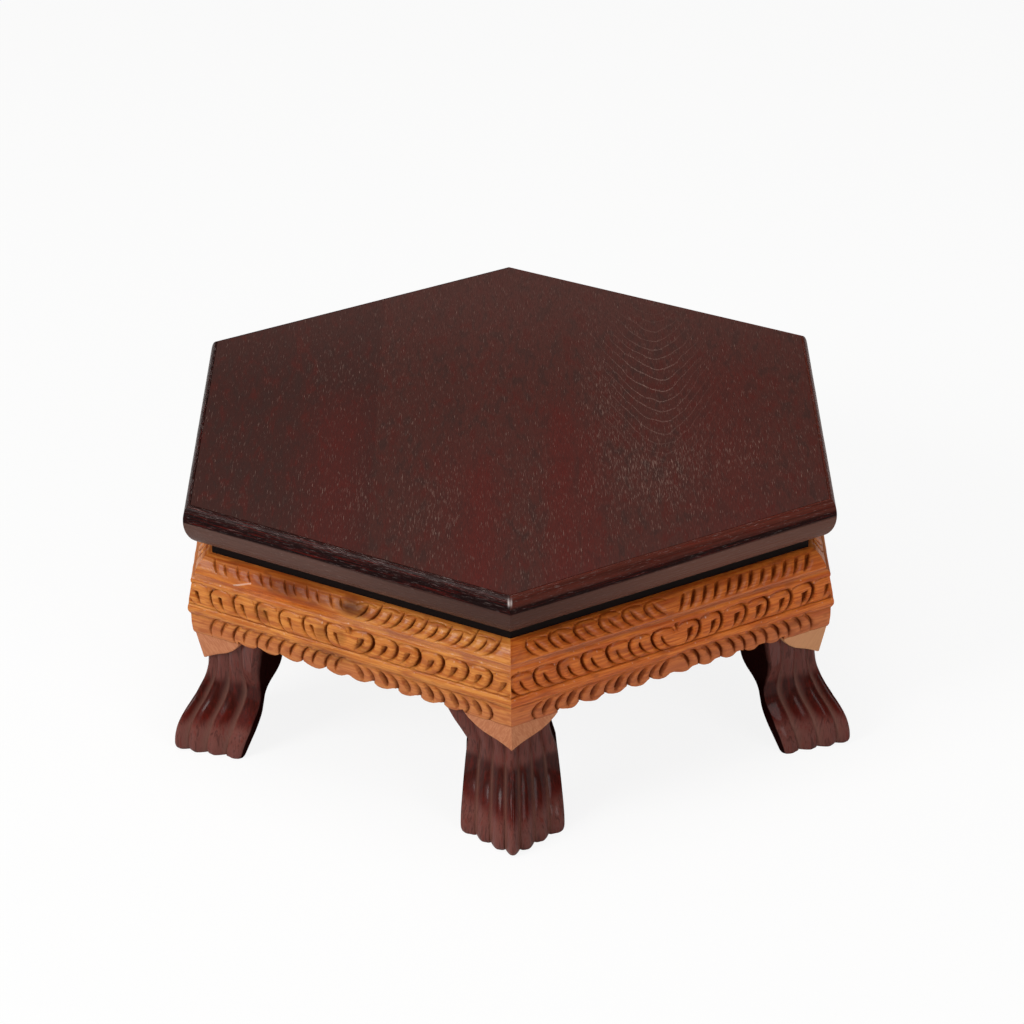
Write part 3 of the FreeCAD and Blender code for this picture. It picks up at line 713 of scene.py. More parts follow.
def screw_places():
    """Where the five groups of screws are driven, with their lengths, in millimetres."""
    top_reach = (NECK_INNER + APRON_INNER) / 2
    tops = [((top_reach, side * TOP_SCREW_SPREAD, APRON_TOP), (0, 0, 1)) for side in (-1, 1)]
    necks = [((APRON_INNER + NECK_SCREW_EDGE, side * NECK_SCREW_SPREAD, TOP_UNDER), (0, 0, -1))
             for side in (-1, 1)]
    legs = [((BACK_REACH - BRACE_THICKNESS, 0, height), (1, 0, 0))
            for height in (APRON_TOP - LEG_SCREW_EDGE, APRON_TOP - BRACE_HEIGHT + LEG_SCREW_EDGE)]
    return {
        "batten_screws": (batten_screw_places(), BATTEN_SCREW_LENGTH),
        "top_screws": (round_table(tops, FACES), TOP_SCREW_LENGTH),
        "neck_screws": (round_table(necks, FACES), NECK_SCREW_LENGTH),
        "brace_screws": (round_table([brace_screw_place(-1), brace_screw_place(1)], CORNERS),
                         BRACE_SCREW_LENGTH),
        "leg_screws": (round_table(legs, CORNERS), LEG_SCREW_LENGTH)}


def driven_screws():
    """The five groups, each a piece of its own."""
    tree = screw_tree()
    for number, (name, (places, length)) in enumerate(screw_places().items()):
        base = bpy.data.meshes.new(name + "_places")
        base.from_pydata([(np.array(head) * MM).tolist() for head, aim in places], [], [])
        aims = base.attributes.new("aim", "FLOAT_VECTOR", "POINT")
        aims.data.foreach_set("vector", np.float32([aim for head, aim in places]).ravel())
        piece = grown(name + "_driven", base, tree, {
            "Length": length * MM, "Seed": number, "Material": STEEL}, 30)
        place(piece, "screw_steel", name)


driven_screws()


# Carved apron

# Moulded face of an apron board from its top edge down: reach and height
APRON_SECTION = [
    (205.0, 147.0), (207.4, 145.9), (209.6, 144.0), (211.5, 141.5), (213.0, 138.9),
    (214.2, 136.4), (214.7, 134.9), (214.2, 133.4), (215.7, 133.1), (216.9, 132.2),
    (217.5, 130.9), (217.5, 129.4), (217.0, 128.0), (217.4, 126.4),
    (218.2, 122.0), (219.3, 116.5), (219.6, 113.6), (218.9, 113.0), (219.9, 112.3),
    (220.4, 110.6), (220.5, 108.8), (220.2, 107.2), (219.5, 106.0), (218.7, 104.8),
    (218.5, 104.3)]
# Its lower band, down to the lowest line of the scallops
BAND_FOOT = [(218.5, 104.3), (218.5, 98.0), (217.9, 91.4), (217.0, APRON_BOTTOM)]
BAND_START = 104.3
# Inner corners of that section, darkened by stain and painted shade: height, half width and share of
# darkness
STAINED_AND_SHADED_GROOVES = [(113.1, 0.8, 0.55), (108.2, 0.5, 0.3), (104.4, 1.4, 0.45),
                   (APRON_BOTTOM, 0.7, 0.6)]
# A pendant's width, the reach of its point, and half a board from point to point and between
# the pendants' roots
PENDANT_WIDTH = 33.0
PENDANT_POINT = 211.8
TIP_HALF = PENDANT_POINT * TAN_30
ROOT_HALF = TIP_HALF - PENDANT_WIDTH
SCALLOPS = 5
SCALLOP_DEPTH = 3.2

# Lower edge of a scallop, shares of its width and depth, steep side last
SCALLOP_SHARES = [(0.0, 0.0), (0.08, 0.18), (0.2, 0.42), (0.38, 0.84), (0.56, 1.0), (0.67, 0.84),
                  (0.75, 0.35), (0.82, 0.06), (0.9, 0.0), (1.0, 0.0)]
# The same on boards whose scallops are even
EVEN_SHARES = [(0.0, 0.0), (0.08, 0.1), (0.2, 0.48), (0.32, 0.85), (0.5, 1.0), (0.68, 0.85),
               (0.8, 0.48), (0.92, 0.1), (1.0, 0.0)]
EVEN_BOARDS = ("front_left", "back_right", "left")
# Lower edge of a pendant, shares of its width from the root and of its drop below the apron
PENDANT_SHARES = [(0.0, 0.0), (0.06, 0.17), (0.19, 0.37), (0.35, 0.54), (0.50, 0.64),
                  (0.65, 0.73), (0.80, 0.84), (0.92, 0.94), (1.0, 1.0)]

# Gouge cuts of one leaf. Each point: distance from the leaf's back towards the middle of the
# board, drop below the apron's top edge, width of the steep outer side, width of the slope on
# the inner side, and depth.
CRESCENT = [(2.8, 0.7, 0.6, 0.7, 0.9), (1.0, 1.8, 0.8, 1.1, 1.7), (0.0, 3.8, 0.9, 1.4, 2.2),
            (0.8, 6.3, 0.9, 1.5, 2.3), (3.0, 8.9, 0.8, 1.3, 1.9), (5.8, 10.9, 0.6, 0.9, 1.2),
            (8.6, 12.1, 0.3, 0.5, 0.4)]
COMMA = [(7.2, 2.6, 0.6, 0.8, 1.2), (8.0, 4.4, 0.9, 1.3, 2.2), (9.6, 6.8, 0.9, 1.4, 2.3),
         (12.2, 9.1, 0.7, 1.1, 1.7), (15.2, 11.1, 0.4, 0.5, 0.5)]
TOP_ARCH = [(17.4, 2.6, 0.5, 0.5, 0.6), (15.4, 1.2, 0.5, 0.5, 0.7), (11.0, 0.6, 0.5, 0.5, 0.6),
            (6.2, 0.6, 0.5, 0.5, 0.6), (2.8, 1.1, 0.5, 0.5, 0.8)]
BOLD_CRESCENT = [(-0.6, 0.2, 0.6, 0.8, 1.1), (-0.3, 2.2, 0.9, 1.5, 2.2), (0.5, 4.9, 0.9, 1.8, 2.5),
                 (2.5, 7.6, 0.8, 1.6, 2.2), (5.4, 9.8, 0.6, 1.1, 1.5), (9.0, 11.5, 0.4, 0.5, 0.5)]
BOLD_COMMA = [(8.6, 1.6, 0.6, 0.8, 1.1), (8.8, 3.4, 0.9, 1.5, 2.2), (9.8, 6.0, 0.9, 1.7, 2.4),
              (12.0, 8.5, 0.8, 1.3, 1.9), (15.6, 10.8, 0.4, 0.5, 0.5)]
SLANT_CRESCENT = [(-1.4, 1.6, 0.6, 1.6, 1.8), (0.0, 4.0, 0.8, 2.4, 2.7), (1.6, 6.6, 0.8, 2.3, 2.6),
                  (3.6, 8.9, 0.6, 1.5, 1.9), (6.4, 10.8, 0.3, 0.6, 0.5)]
SLANT_COMMA = [(7.7, 1.6, 0.6, 1.5, 1.7), (9.1, 4.0, 0.8, 2.3, 2.6), (10.7, 6.6, 0.8, 2.1, 2.5),
               (12.7, 8.9, 0.6, 1.4, 1.8), (15.2, 10.8, 0.3, 0.6, 0.5)]
ROUGH_CRESCENT = [(0.4, 1.4, 0.5, 0.7, 0.8), (1.6, 3.8, 0.7, 1.1, 1.5), (3.4, 6.4, 0.6, 0.9, 1.2),
                  (5.6, 8.8, 0.4, 0.5, 0.5)]
ROUGH_COMMA = [(9.0, 2.2, 0.5, 0.7, 0.8), (10.0, 4.4, 0.7, 1.0, 1.4), (11.8, 6.8, 0.5, 0.7, 0.9),
               (13.6, 8.4, 0.3, 0.4, 0.3)]
# One leaf of the middle band: over its top and down its back
LEAF = [(18.9, 21.8, 0.7, 0.7, 1.0), (17.3, 19.8, 0.7, 0.8, 1.1), (14.0, 18.7, 0.7, 0.8, 1.1),
        (9.8, 18.3, 0.7, 0.8, 1.1), (5.9, 18.7, 0.9, 0.8, 1.4), (3.3, 19.9, 1.3, 0.9, 2.1),
        (1.9, 21.8, 1.6, 1.0, 2.8), (1.6, 24.2, 1.5, 1.2, 3.1), (2.1, 27.0, 1.2, 1.3, 2.9),
        (3.3, 29.7, 1.0, 1.2, 2.6), (5.3, 32.0, 0.8, 1.0, 2.0), (8.1, 33.6, 0.5, 0.7, 1.2),
        (11.7, 34.5, 0.3, 0.4, 0.5)]
LEAF_COMMA = [(9.4, 24.3, 1.0, 1.0, 2.1), (9.8, 26.1, 0.9, 1.3, 2.7), (11.0, 28.7, 0.8, 1.3, 2.5),
              (13.2, 31.3, 0.7, 1.0, 1.7), (16.0, 33.1, 0.4, 0.6, 1.0), (18.8, 34.0, 0.3, 0.4, 0.4)]
WEDGE_COMMA = [(8.2, 24.3, 0.6, 3.9, 2.4), (8.8, 26.0, 0.7, 3.3, 2.7), (10.2, 28.4, 0.6, 2.3, 2.5),
               (12.2, 31.0, 0.5, 1.3, 1.7), (14.4, 33.2, 0.3, 0.4, 0.5)]
NEAR_COMMA = [(5.9, 24.3, 0.6, 4.6, 2.4), (6.5, 26.0, 0.7, 3.9, 2.7), (7.9, 28.4, 0.6, 2.7, 2.5),
              (10.0, 31.0, 0.5, 1.3, 1.7), (12.4, 33.2, 0.3, 0.4, 0.5)]
BOLD_LEAF = [(18.2, 21.8, 0.7, 0.7, 1.0), (16.8, 19.9, 0.7, 0.8, 1.1), (13.4, 18.7, 0.7, 0.8, 1.1),
             (9.2, 18.3, 0.7, 0.8, 1.1), (5.2, 18.7, 1.0, 0.8, 1.5), (2.4, 19.9, 1.6, 0.9, 2.3),
             (0.8, 21.8, 1.9, 1.0, 2.9), (0.4, 24.2, 2.0, 1.1, 3.1), (0.9, 27.0, 1.8, 1.2, 3.0),
             (2.3, 29.9, 1.5, 1.1, 2.6), (4.4, 32.2, 1.0, 1.0, 2.0), (7.6, 33.9, 0.5, 0.6, 1.0)]
LOWER_CRESCENT = [(6.6, 43.6, 0.5, 1.0, 0.9), (3.2, 45.7, 0.7, 1.7, 1.8), (0.9, 48.5, 0.8, 2.0, 2.4),
                  (0.0, 51.7, 0.8, 1.9, 2.5), (0.7, 54.9, 0.8, 1.5, 2.2), (2.5, 57.7, 0.6, 1.0, 1.4),
                  (4.6, 59.7, 0.4, 0.6, 0.6)]
LOWER_GOUGE = [(14.2, 43.4, 0.6, 1.5, 1.1), (11.4, 45.7, 0.7, 2.8, 2.4), (9.3, 48.6, 0.8, 3.2, 3.0),
               (8.4, 51.6, 0.8, 2.6, 2.8), (8.6, 54.3, 0.6, 1.5, 1.7), (9.6, 55.9, 0.4, 0.6, 0.5)]
SWEPT_CRESCENT = [(10.6, 39.9, 0.4, 1.2, 0.8), (6.6, 41.7, 0.6, 2.0, 1.7), (3.1, 44.5, 0.7, 2.3, 2.3),
                  (0.9, 48.0, 0.8, 2.2, 2.6), (0.0, 51.8, 0.8, 1.8, 2.5), (0.3, 55.2, 0.6, 1.2, 1.8),
                  (1.4, 57.8, 0.4, 0.7, 0.7)]
SWEPT_GOUGE = [(19.4, 40.1, 0.4, 1.2, 0.8), (15.6, 41.7, 0.6, 1.9, 1.6), (12.2, 44.1, 0.7, 2.2, 2.2),
               (9.8, 47.4, 0.8, 2.2, 2.6), (8.8, 51.0, 0.7, 1.8, 2.4), (9.0, 54.0, 0.5, 0.9, 1.1)]
# Cut where the two middle leaves meet
NOTCH = [(2.0, 18.8, 2.0, 2.0, 2.2), (2.2, 21.0, 1.0, 1.0, 1.8), (2.5, 23.2, 0.4, 0.4, 0.5)]


def thinner(cut, width, depth):
    """The same cut made with a smaller gouge."""
    return [(x, y, steep * width, slope * width, deep * depth) for x, y, steep, slope, deep in cut]


NEAT = [CRESCENT, COMMA, TOP_ARCH, LEAF, LEAF_COMMA, LOWER_CRESCENT, LOWER_GOUGE]
BOLD = [thinner(BOLD_CRESCENT, 0.7, 1.1), thinner(BOLD_COMMA, 0.65, 1.1), TOP_ARCH, BOLD_LEAF,
        WEDGE_COMMA, LOWER_CRESCENT, LOWER_GOUGE]
SLANTED = [SLANT_CRESCENT, SLANT_COMMA, BOLD_LEAF, NEAR_COMMA, SWEPT_CRESCENT, SWEPT_GOUGE]
ROUGH = [ROUGH_CRESCENT, ROUGH_COMMA, thinner(LEAF, 0.85, 0.9), thinner(WEDGE_COMMA, 0.8, 0.95),
         thinner(SWEPT_CRESCENT, 0.85, 0.9), thinner(SWEPT_GOUGE, 0.9, 0.9)]

# Leaves in half a board
LEAVES = 6
# For each board, its left and right half: the cuts of a leaf, the reach of the first leaf from
# the middle of the board, and the pitch of the leaves
CARVING = {"front_right": ((NEAT, 109.7, 18.28), (SLANTED, 112.2, 18.25)),
           "front_left": ((ROUGH, 111.5, 18.6), (BOLD, 111.3, 18.2)),
           "right": ((NEAT, 110.4, 18.2), (NEAT, 110.6, 18.2)),
           "back_right": ((BOLD, 111.8, 18.3), (NEAT, 110.2, 18.2)),
           "back_left": ((NEAT, 110.1, 18.2), (BOLD, 112.0, 18.3)),
           "left": ((NEAT, 110.9, 18.3), (NEAT, 110.0, 18.1))}
# Arrises with painted glints in spots, pale dots that stand for highlights on the varnish: drop and
# half width
GLINTING_ARRISES = [(14.7, 0.5), (20.2, 0.9), (35.6, 0.5)]
# Dark flaws: board, place along it, drop, half width, half height, and strength. The one at drop 57.4
# on the front right board is the painted shade of a small notch in its scallops' edge.
FLAWS = [("front_left", 2, 6, 16, 7, 0.75), ("front_left", -80, 5, 55, 10, 0.4),
         ("front_left", -36, 5, 44, 12, 0.55),
         ("front_left", -12, 42, 22, 9, 0.35), ("front_left", -68, 26, 8, 7, 0.35),
         ("front_left", -20, 27, 7, 7, 0.4), ("front_left", -5, 26, 6, 7, 0.4),
         ("front_left", 12, 30, 8, 4, 0.3), ("front_right", -119.8, 17.1, 0.9, 0.9, 1.0),
         ("front_right", -15.5, 57.4, 7, 1.8, 1.0), ("front_right", 98, 46, 8, 4, 0.4)]
# How red the wood of each board is, from golden to red-brown, and the place of a redder streak
REDNESS = {"front_right": 0.85, "front_left": 0.15, "right": 0.6, "back_right": 0.4,
           "back_left": 0.8, "left": 0.3}
RED_STREAK = {"front_left": (-62.0, 5.0, 75.0, 13.0, 0.75)}
# How dark the stain and painted shade are in a deep cut, how deep that is, and how dark they are on
# the lobes beside
CUT_DARKNESS = 0.92
DEEP_CUT = 2.6
LOBE_DARKNESS = 0.22
# How sharply it keeps to the deepest part: in the upper band, elsewhere, and on single boards
UPPER_BAND = 13.0
UPPER_FOCUS = 1.2
USUAL_FOCUS = 1.5
STAIN_AND_SHADE_FOCUS = {"front_left": 2.1}
# The lobes between cuts are rounded over as well: how far from a cut, and what share of its depth
LOBE_ROUNDING = 4.2
LOBE_SHARE = 0.58
# A cut reaches no further than this beyond its own points, and this far past the board's middle
CUT_MARGIN = 4
MIDDLE_OVERLAP = 1.5
# Drops between which the cuts of the middle band start, and above which those of the upper do
MIDDLE_HEADS = (18, 26)
UPPER_HEADS = 5
# How far from a mitre the carving is at its full depth, and half the depth of the small waves
# that a board keeps from its scraper
MITRE_RIM = 2.0
APRON_WAVES = 0.14
# Pale dust on the moulding's ledge, painted also as light that lifts its shade: drop, half width and
# strength
LEDGE_DUST_AND_LIGHT = (13.1, 1.3, 0.2)
# Splinter lost from a board, which left a pale sliver: both ends as place along it and drop
SPLINTER = {"front_left": ((-92.0, 12.8), (-79.0, 8.4))}


def section_points(section, spacing):
    """Points along a section, close enough together to carry the carving."""
    points = [np.array(section[0], float)]
    for start, end in zip(section, section[1:]):
        run = np.subtract(end, start)
        steps = max(1, round(math.hypot(*run) / spacing))
        points += [np.add(start, run * step / steps) for step in range(1, steps + 1)]
    return np.array(points)


def lower_edge(along, name):
    """Height of an apron board's lower edge at a distance along it from its middle."""
    away = np.abs(along)
    share = (along * SCALLOPS / ROOT_HALF) % 1
    dip = np.interp(share, *np.transpose(EVEN_SHARES if name in EVEN_BOARDS else SCALLOP_SHARES))
    scallop = APRON_BOTTOM + SCALLOP_DEPTH * (1 - dip)
    return np.where(away < ROOT_HALF, scallop, APRON_BOTTOM)


def cut_depth(x, drop, cut):
    """Depth of one gouge cut at points, and of the rounding beside it."""
    depth = np.zeros_like(x)
    soft = np.zeros_like(x)
    for start, end in zip(cut, cut[1:]):
        ax, ay = start[:2]
        dx, dy = end[0] - ax, end[1] - ay
        share = np.clip(((x - ax) * dx + (drop - ay) * dy) / (dx * dx + dy * dy), 0, 1)
        px, py = x - ax - share * dx, drop - ay - share * dy
        steep, slope, deep = (start[i] + (end[i] - start[i]) * share for i in (2, 3, 4))
        away = np.hypot(px, py)
        wall = deep * (1 - np.clip(away / steep, 0, 1) ** 1.5)
        ramp = deep * (1 - np.clip(away / slope, 0, 1)) ** 0.4
        depth = np.maximum(depth, np.where(dx * py - dy * px < 0, ramp, wall))
        soft = np.maximum(soft, deep * (1 - np.clip(away / LOBE_ROUNDING, 0, 1)) ** 2)
    # A gouge is set in square at the head of its cut
    head = min(row[1] - row[2] for row in cut)
    depth *= np.clip((drop - head) / 0.5, 0, 1)
    return depth, LOBE_SHARE * soft


def shaken(cut, rng):
    """The same cut made again by hand: moved, stretched and deepened a little."""
    cut = np.array(cut, float)
    cut[:, 0] += rng.normal(0, 0.25)
    cut[:, 1] += rng.normal(0, 0.2)
    cut[:, :2] += rng.normal(0, 0.08, (len(cut), 2))
    cut[:, 2:4] *= rng.uniform(0.88, 1.15)
    cut[:, 4] *= rng.uniform(0.85, 1.12)
    return cut


def carved(along, drop, halves, seed):
    """Depth of the leaf scroll over a whole board, and of the rounding between its cuts."""
    rng = np.random.default_rng(seed)
    depth = np.zeros_like(along)
    soft = np.zeros_like(along)
    for side, (cuts, first, pitch) in zip((-1, 1), halves):
        half = along * side
        for leaf in range(-1, LEAVES):
            x = first - leaf * pitch + rng.normal(0, 0.3) - half
            for cut in cuts:
                cut = shaken(cut, rng)
                head = cut[0, 1]
                # Beyond the last leaf is half a leaf more, in the middle band only
                if leaf < 0 and not MIDDLE_HEADS[0] < head < MIDDLE_HEADS[1]:
                    continue
                near = ((x > cut[:, 0].min() - CUT_MARGIN) & (x < cut[:, 0].max() + CUT_MARGIN)
                        & (drop > cut[:, 1].min() - CUT_MARGIN)
                        & (drop < cut[:, 1].max() + CUT_MARGIN) & (half > -MIDDLE_OVERLAP))
                sharp, round_over = cut_depth(x[near], drop[near], cut)
                depth[near] = np.maximum(depth[near], sharp)
                # Lobes are flatter in the rough half, and a little in the upper band
                round_over *= 0.5 if cuts is ROUGH else 0.75 if head < UPPER_HEADS else 1
                soft[near] = np.maximum(soft[near], round_over)
    sharp, round_over = cut_depth(along, drop, NOTCH)
    return np.maximum(depth, sharp), np.maximum(soft, round_over)


def marks(name, along, drop, seed):
    """Pale dust with painted light on the ledge, painted glints on the arrises and a splinter's pale
    sliver, below 0, and dark flaws of boards, above 0.
    """
    # Pale dust on the ledge, also painted light that lifts its shade
    ledge, half_width, strength = LEDGE_DUST_AND_LIGHT
    mark = -strength * np.clip(1 - ((drop - ledge) / half_width) ** 2, 0, 1)
    # Painted glints: pale spots along the arrises
    for arris, half_width in GLINTING_ARRISES:
        line = np.stack([along + 300, np.full_like(along, 7.0 * arris)], -1)
        glint_noise = smooth_noise(line, 1.6, seed)
        glint_spots = np.clip(4 * glint_noise - 2.6, 0, 1) * np.clip(1 - np.abs(drop - arris) / half_width, 0, 1)
        mark = mark - 0.8 * glint_spots
    for board, x, y, half_width, half_height, strength in FLAWS:
        if board == name:
            away = np.hypot((along - x) / half_width, (drop - y) / half_height)
            mark += strength * np.clip(1.5 * (1 - away), 0, 1)
    if name in SPLINTER:
        start, end = np.array(SPLINTER[name])
        run = end - start
        x, y = along - start[0], drop - start[1]
        share = np.clip((x * run[0] + y * run[1]) / np.sum(run ** 2), 0, 1)
        away = np.hypot(x - share * run[0], y - share * run[1])
        mark -= np.clip(1.6 - 2 * away, 0, 1)
    return mark


def apron_columns(cell):
    """Distances along a board for the columns of its mesh, and the share of its mitred end."""
    steps = 2 * SCALLOPS * round(ROOT_HALF / SCALLOPS / cell)
    inner = np.linspace(-ROOT_HALF, ROOT_HALF, steps + 1)
    shares = np.linspace(0, 1, round(PENDANT_WIDTH / cell) + 1)
    shares[0] = 0.003
    left = [(-ROOT_HALF, share) for share in shares[::-1]]
    right = [(ROOT_HALF, share) for share in shares]
    return np.array(left + [(along, 0.0) for along in inner] + right)


def apron_face(bottom, spacing, steps):
    """Height and reach of an uncut board's face: the moulded section, then the lower band down
    to the scallops."""
    upper = section_points(APRON_SECTION, spacing)
    shares = np.linspace(0, 1, steps)[1:]
    low_height = BAND_START + shares[:, None] * (bottom[None, :] - BAND_START)
    foot = np.array(BAND_FOOT)[::-1]
    low_reach = np.interp(low_height, foot[:, 1], foot[:, 0])
    height = np.repeat(upper[:, 1:2], len(bottom), 1)
    reach = np.repeat(upper[:, 0:1], len(bottom), 1)
    return np.vstack([height, low_height]), np.vstack([reach, low_reach])


def face_directions(reach, height):
    """Directions square to the face, softened so that deep cuts stay clean."""
    kernel = np.ones(7) / 7
    out = np.stack([-np.gradient(height, axis=0), np.gradient(reach, axis=0)])
    out = np.apply_along_axis(lambda v: np.convolve(np.pad(v, 3, "edge"), kernel, "valid"), 1, out)
    return out / np.maximum(np.hypot(*out), 1e-9)


def stain_and_painted_shade(name, drop, height, cut, soft, rim):
    """How much stain and painted shade darken the wood: in the cuts, beside them and in the section's
    inner corners.
    """
    focus = np.where(drop < UPPER_BAND, UPPER_FOCUS, STAIN_AND_SHADE_FOCUS.get(name, USUAL_FOCUS))
    hollow = rim * (CUT_DARKNESS * (cut / DEEP_CUT) ** focus + LOBE_DARKNESS * soft)
    for groove, half_width, darkness in STAINED_AND_SHADED_GROOVES:
        hollow = np.maximum(hollow, darkness * np.clip(1 - np.abs(height - groove) / half_width, 0, 1))
    return np.clip(hollow, 0, 1)


def board_redness(name, along, drop):
    """How red the wood is over a board."""
    redness = np.full_like(along, REDNESS[name])
    if name in RED_STREAK:
        x, y, half_width, half_height, strength = RED_STREAK[name]
        away = np.hypot((along - x) / half_width, (drop - y) / half_height)
        redness += strength * np.clip(1.6 * (1 - away), 0, 1)
    return redness


def apron_piece(name, angle, number):
    """A carved board of the apron, mitred at both ends, with its flat back."""
    columns = apron_columns(0.46)
    flat, share = columns[:, 0], columns[:, 1]
    side = np.where(flat < 0, -1.0, 1.0)
    bottom = lower_edge(flat + side * share * PENDANT_WIDTH, name)
    height, reach = apron_face(bottom, 0.46, 46)
    limit = reach * TAN_30
    along = np.where(share > 0, side * (ROOT_HALF + (limit - ROOT_HALF) * share), flat)
    out = face_directions(reach, height)

    drop = APRON_TOP - height
    cut, soft = carved(along, drop, CARVING[name], 40 + number)
    # Nothing is cut at the mitres, where the next board begins
    rim = np.clip((limit - np.abs(along)) / MITRE_RIM, 0, 1)
    waves = smooth_noise(np.stack([along + 300, drop * 1.5 + 100], -1), 6.0, 60 + number)
    depth = rim * (np.maximum(cut, soft) + APRON_WAVES * (1 + waves))

    inner_limit = APRON_INNER * TAN_30
    inner_along = np.where(share > 0, side * (ROOT_HALF + (inner_limit - ROOT_HALF) * share), flat)
    inner_reach = np.full_like(bottom, APRON_INNER)
    ring = np.concatenate([
        np.stack([reach - out[0] * depth, along, height - out[1] * depth], -1),
        np.stack([inner_reach, inner_along, bottom], -1)[None],
        np.stack([inner_reach, inner_along, np.full_like(bottom, APRON_TOP)], -1)[None]])
    rows, count = ring.shape[:2]
    grain = ring[..., [1, 0, 2]] * MM + np.array([0.61 * number, 0.07 * number, 0.0])
    face_values = {"hollow": stain_and_painted_shade(name, drop, height, cut, soft, rim),
                   "mark": marks(name, along, drop, 120 + number),
                   "redness": board_redness(name, along, drop)}
    piece = mesh_piece(
        "carved_apron_" + name, turned(ring, angle).reshape(-1, 3),
        closed_faces(np.arange(rows * count).reshape(rows, count)), TEAK,
        {"grain": grain.reshape(-1, 3),
         **{key: np.pad(values, ((0, 2), (0, 0))).ravel() for key, values in face_values.items()}},
        42)
    place(piece, "oiled_teak", "apron_" + name)


# A pendant's face leans back from its root to its point, its lower arris is eased, and its
# grain runs steeply down. The plane left small waves, of which this is half the depth.
PENDANT_ROOT = 216.3
PENDANT_ARRIS = 0.7
PENDANT_GRAIN = math.radians(62)
PENDANT_WAVES = 0.12
# Pendants of paler wood, and how pale
PALE_PENDANTS = {("front_right", "right_end"): 0.5, ("back_left", "left_end"): 0.3}


def pendant_piece(name, angle, number, end, side):
    """A pendant under one end of a board, from its thin root to the mitred point."""
    share = np.linspace(0, 1, 45)
    # A pendant is cut a hair short of its root, where it would have no height
    share[0] = 0.004
    fall = np.interp(share, *np.transpose(PENDANT_SHARES))
    bottom = APRON_BOTTOM - (APRON_BOTTOM - PENDANT_TIP) * fall
    arris = np.minimum(PENDANT_ARRIS, 0.3 * (APRON_BOTTOM - bottom))
    steps = np.append(np.linspace(0, 1, 20), 1.0)
    height = APRON_BOTTOM + steps[:, None] * (bottom + arris - APRON_BOTTOM)[None, :]
    height[-1] = bottom
    lean = (PENDANT_ROOT - PENDANT_POINT) / (APRON_BOTTOM - PENDANT_TIP)
    reach = PENDANT_ROOT - (APRON_BOTTOM - height) * lean
    reach[-1] -= arris
    low_back = np.full((1, len(share)), APRON_INNER)
    reach = np.concatenate([reach, low_back, low_back])
    height = np.concatenate([height, bottom[None], np.full_like(low_back, APRON_BOTTOM)])
    along = side * (ROOT_HALF + (reach * TAN_30 - ROOT_HALF) * share)
    waves = smooth_noise(np.stack([along + 300, height + 100], -1), 7.0, 90 + number)
    inside = (steps.size > np.arange(len(reach)))[:, None] * np.clip((1 - share) * 12, 0, 1)
    reach = reach - PENDANT_WAVES * (1 + waves) * inside
    ring = np.stack([reach, along, height], -1)
    rows, count = ring.shape[:2]
    faces = closed_faces(np.arange(rows * count).reshape(rows, count))
    if side < 0:
        faces = [face[::-1] for face in faces]
    slant = side * PENDANT_GRAIN
    across = along * math.cos(slant) + height * math.sin(slant)
    down = height * math.cos(slant) - along * math.sin(slant)
    grain = np.stack([across, reach, down], -1) * MM + 0.37 * number + 0.13 * side
    pale = np.full(rows * count, PALE_PENDANTS.get((name, end), 0.0))
    piece = mesh_piece(f"planed_pendant_{name}_{end}", turned(ring, angle).reshape(-1, 3), faces,
                       PENDANT, {"grain": grain.reshape(-1, 3), "pale": pale}, 40)
    place(piece, "pendant_teak", f"pendant_{name}_{end}")


for number, (name, angle) in enumerate(FACES.items()):
    apron_piece(name, angle, number)
    pendant_piece(name, angle, number, "left_end", -1)
    pendant_piece(name, angle, number, "right_end", 1)


# Legs

REEDS = 7
SHOULDER = APRON_BOTTOM
TOE_KICK = 30.0
HEEL_KICK = 34.0
NECK_HALF = 29.5
FOOT_HALF = 34.8
# Radius of the rounded front edge where the two sides of a leg's front meet
VEE_NOSE = 3.0
# Heights between which the toes' round form fades out, and the creases' dust grows less
TOE_FADE = (10, 30)
DUST_FADE = (48, 62)
# Half the depth of the small waves that a leg keeps from its rasp
LEG_WAVES = 0.3
# The post behind the apron starts this far above the shoulder
SHOULDER_STEP = 0.2
# Height share, kick of the toe, kick of the heel, spread, slope of the two sides of the front, and
# depth of the creases
LEG_LEVELS = np.array([
    (0.000, 0.905, 1.00, 0.80, 0.98, 4.0), (0.018, 0.965, 0.96, 0.93, 1.04, 4.1),
    (0.061, 1.00, 0.90, 1.00, 1.10, 4.1), (0.133, 0.975, 0.79, 0.93, 1.18, 4.0),
    (0.233, 0.87, 0.63, 0.76, 1.28, 3.8), (0.343, 0.65, 0.49, 0.57, 1.28, 3.6),
    (0.420, 0.45, 0.43, 0.43, 1.22, 3.3), (0.500, 0.28, 0.37, 0.28, 1.12, 3.0),
    (0.576, 0.13, 0.26, 0.10, 0.92, 2.8), (0.664, 0.04, 0.12, 0.00, 0.70, 2.6),
    (0.764, 0.00, 0.03, 0.02, 0.577, 2.5), (0.880, 0.00, 0.01, 0.12, 0.577, 2.5),
    (1.000, 0.00, 0.00, 0.30, 0.577, 2.5)])
# Shoulders that fan out under the apron: height, and how far they stand out beside the neck
SHOULDER_HEIGHTS = np.array([49.0, 53.0, 57.0, 64.0, 73.0, 80.0, 87.0, 89.3])
FANNED = np.array([0.0, 1.2, 3.0, 6.7, 11.2, 13.8, 15.5, 16.0])
SWEPT = np.array([0.0, 0.5, 0.3, -0.6, 3.8, 7.5, 10.3, 11.0])
WAISTED = np.array([0.0, 0.0, -0.2, -2.6, -5.0, -4.4, -3.0, -2.5])
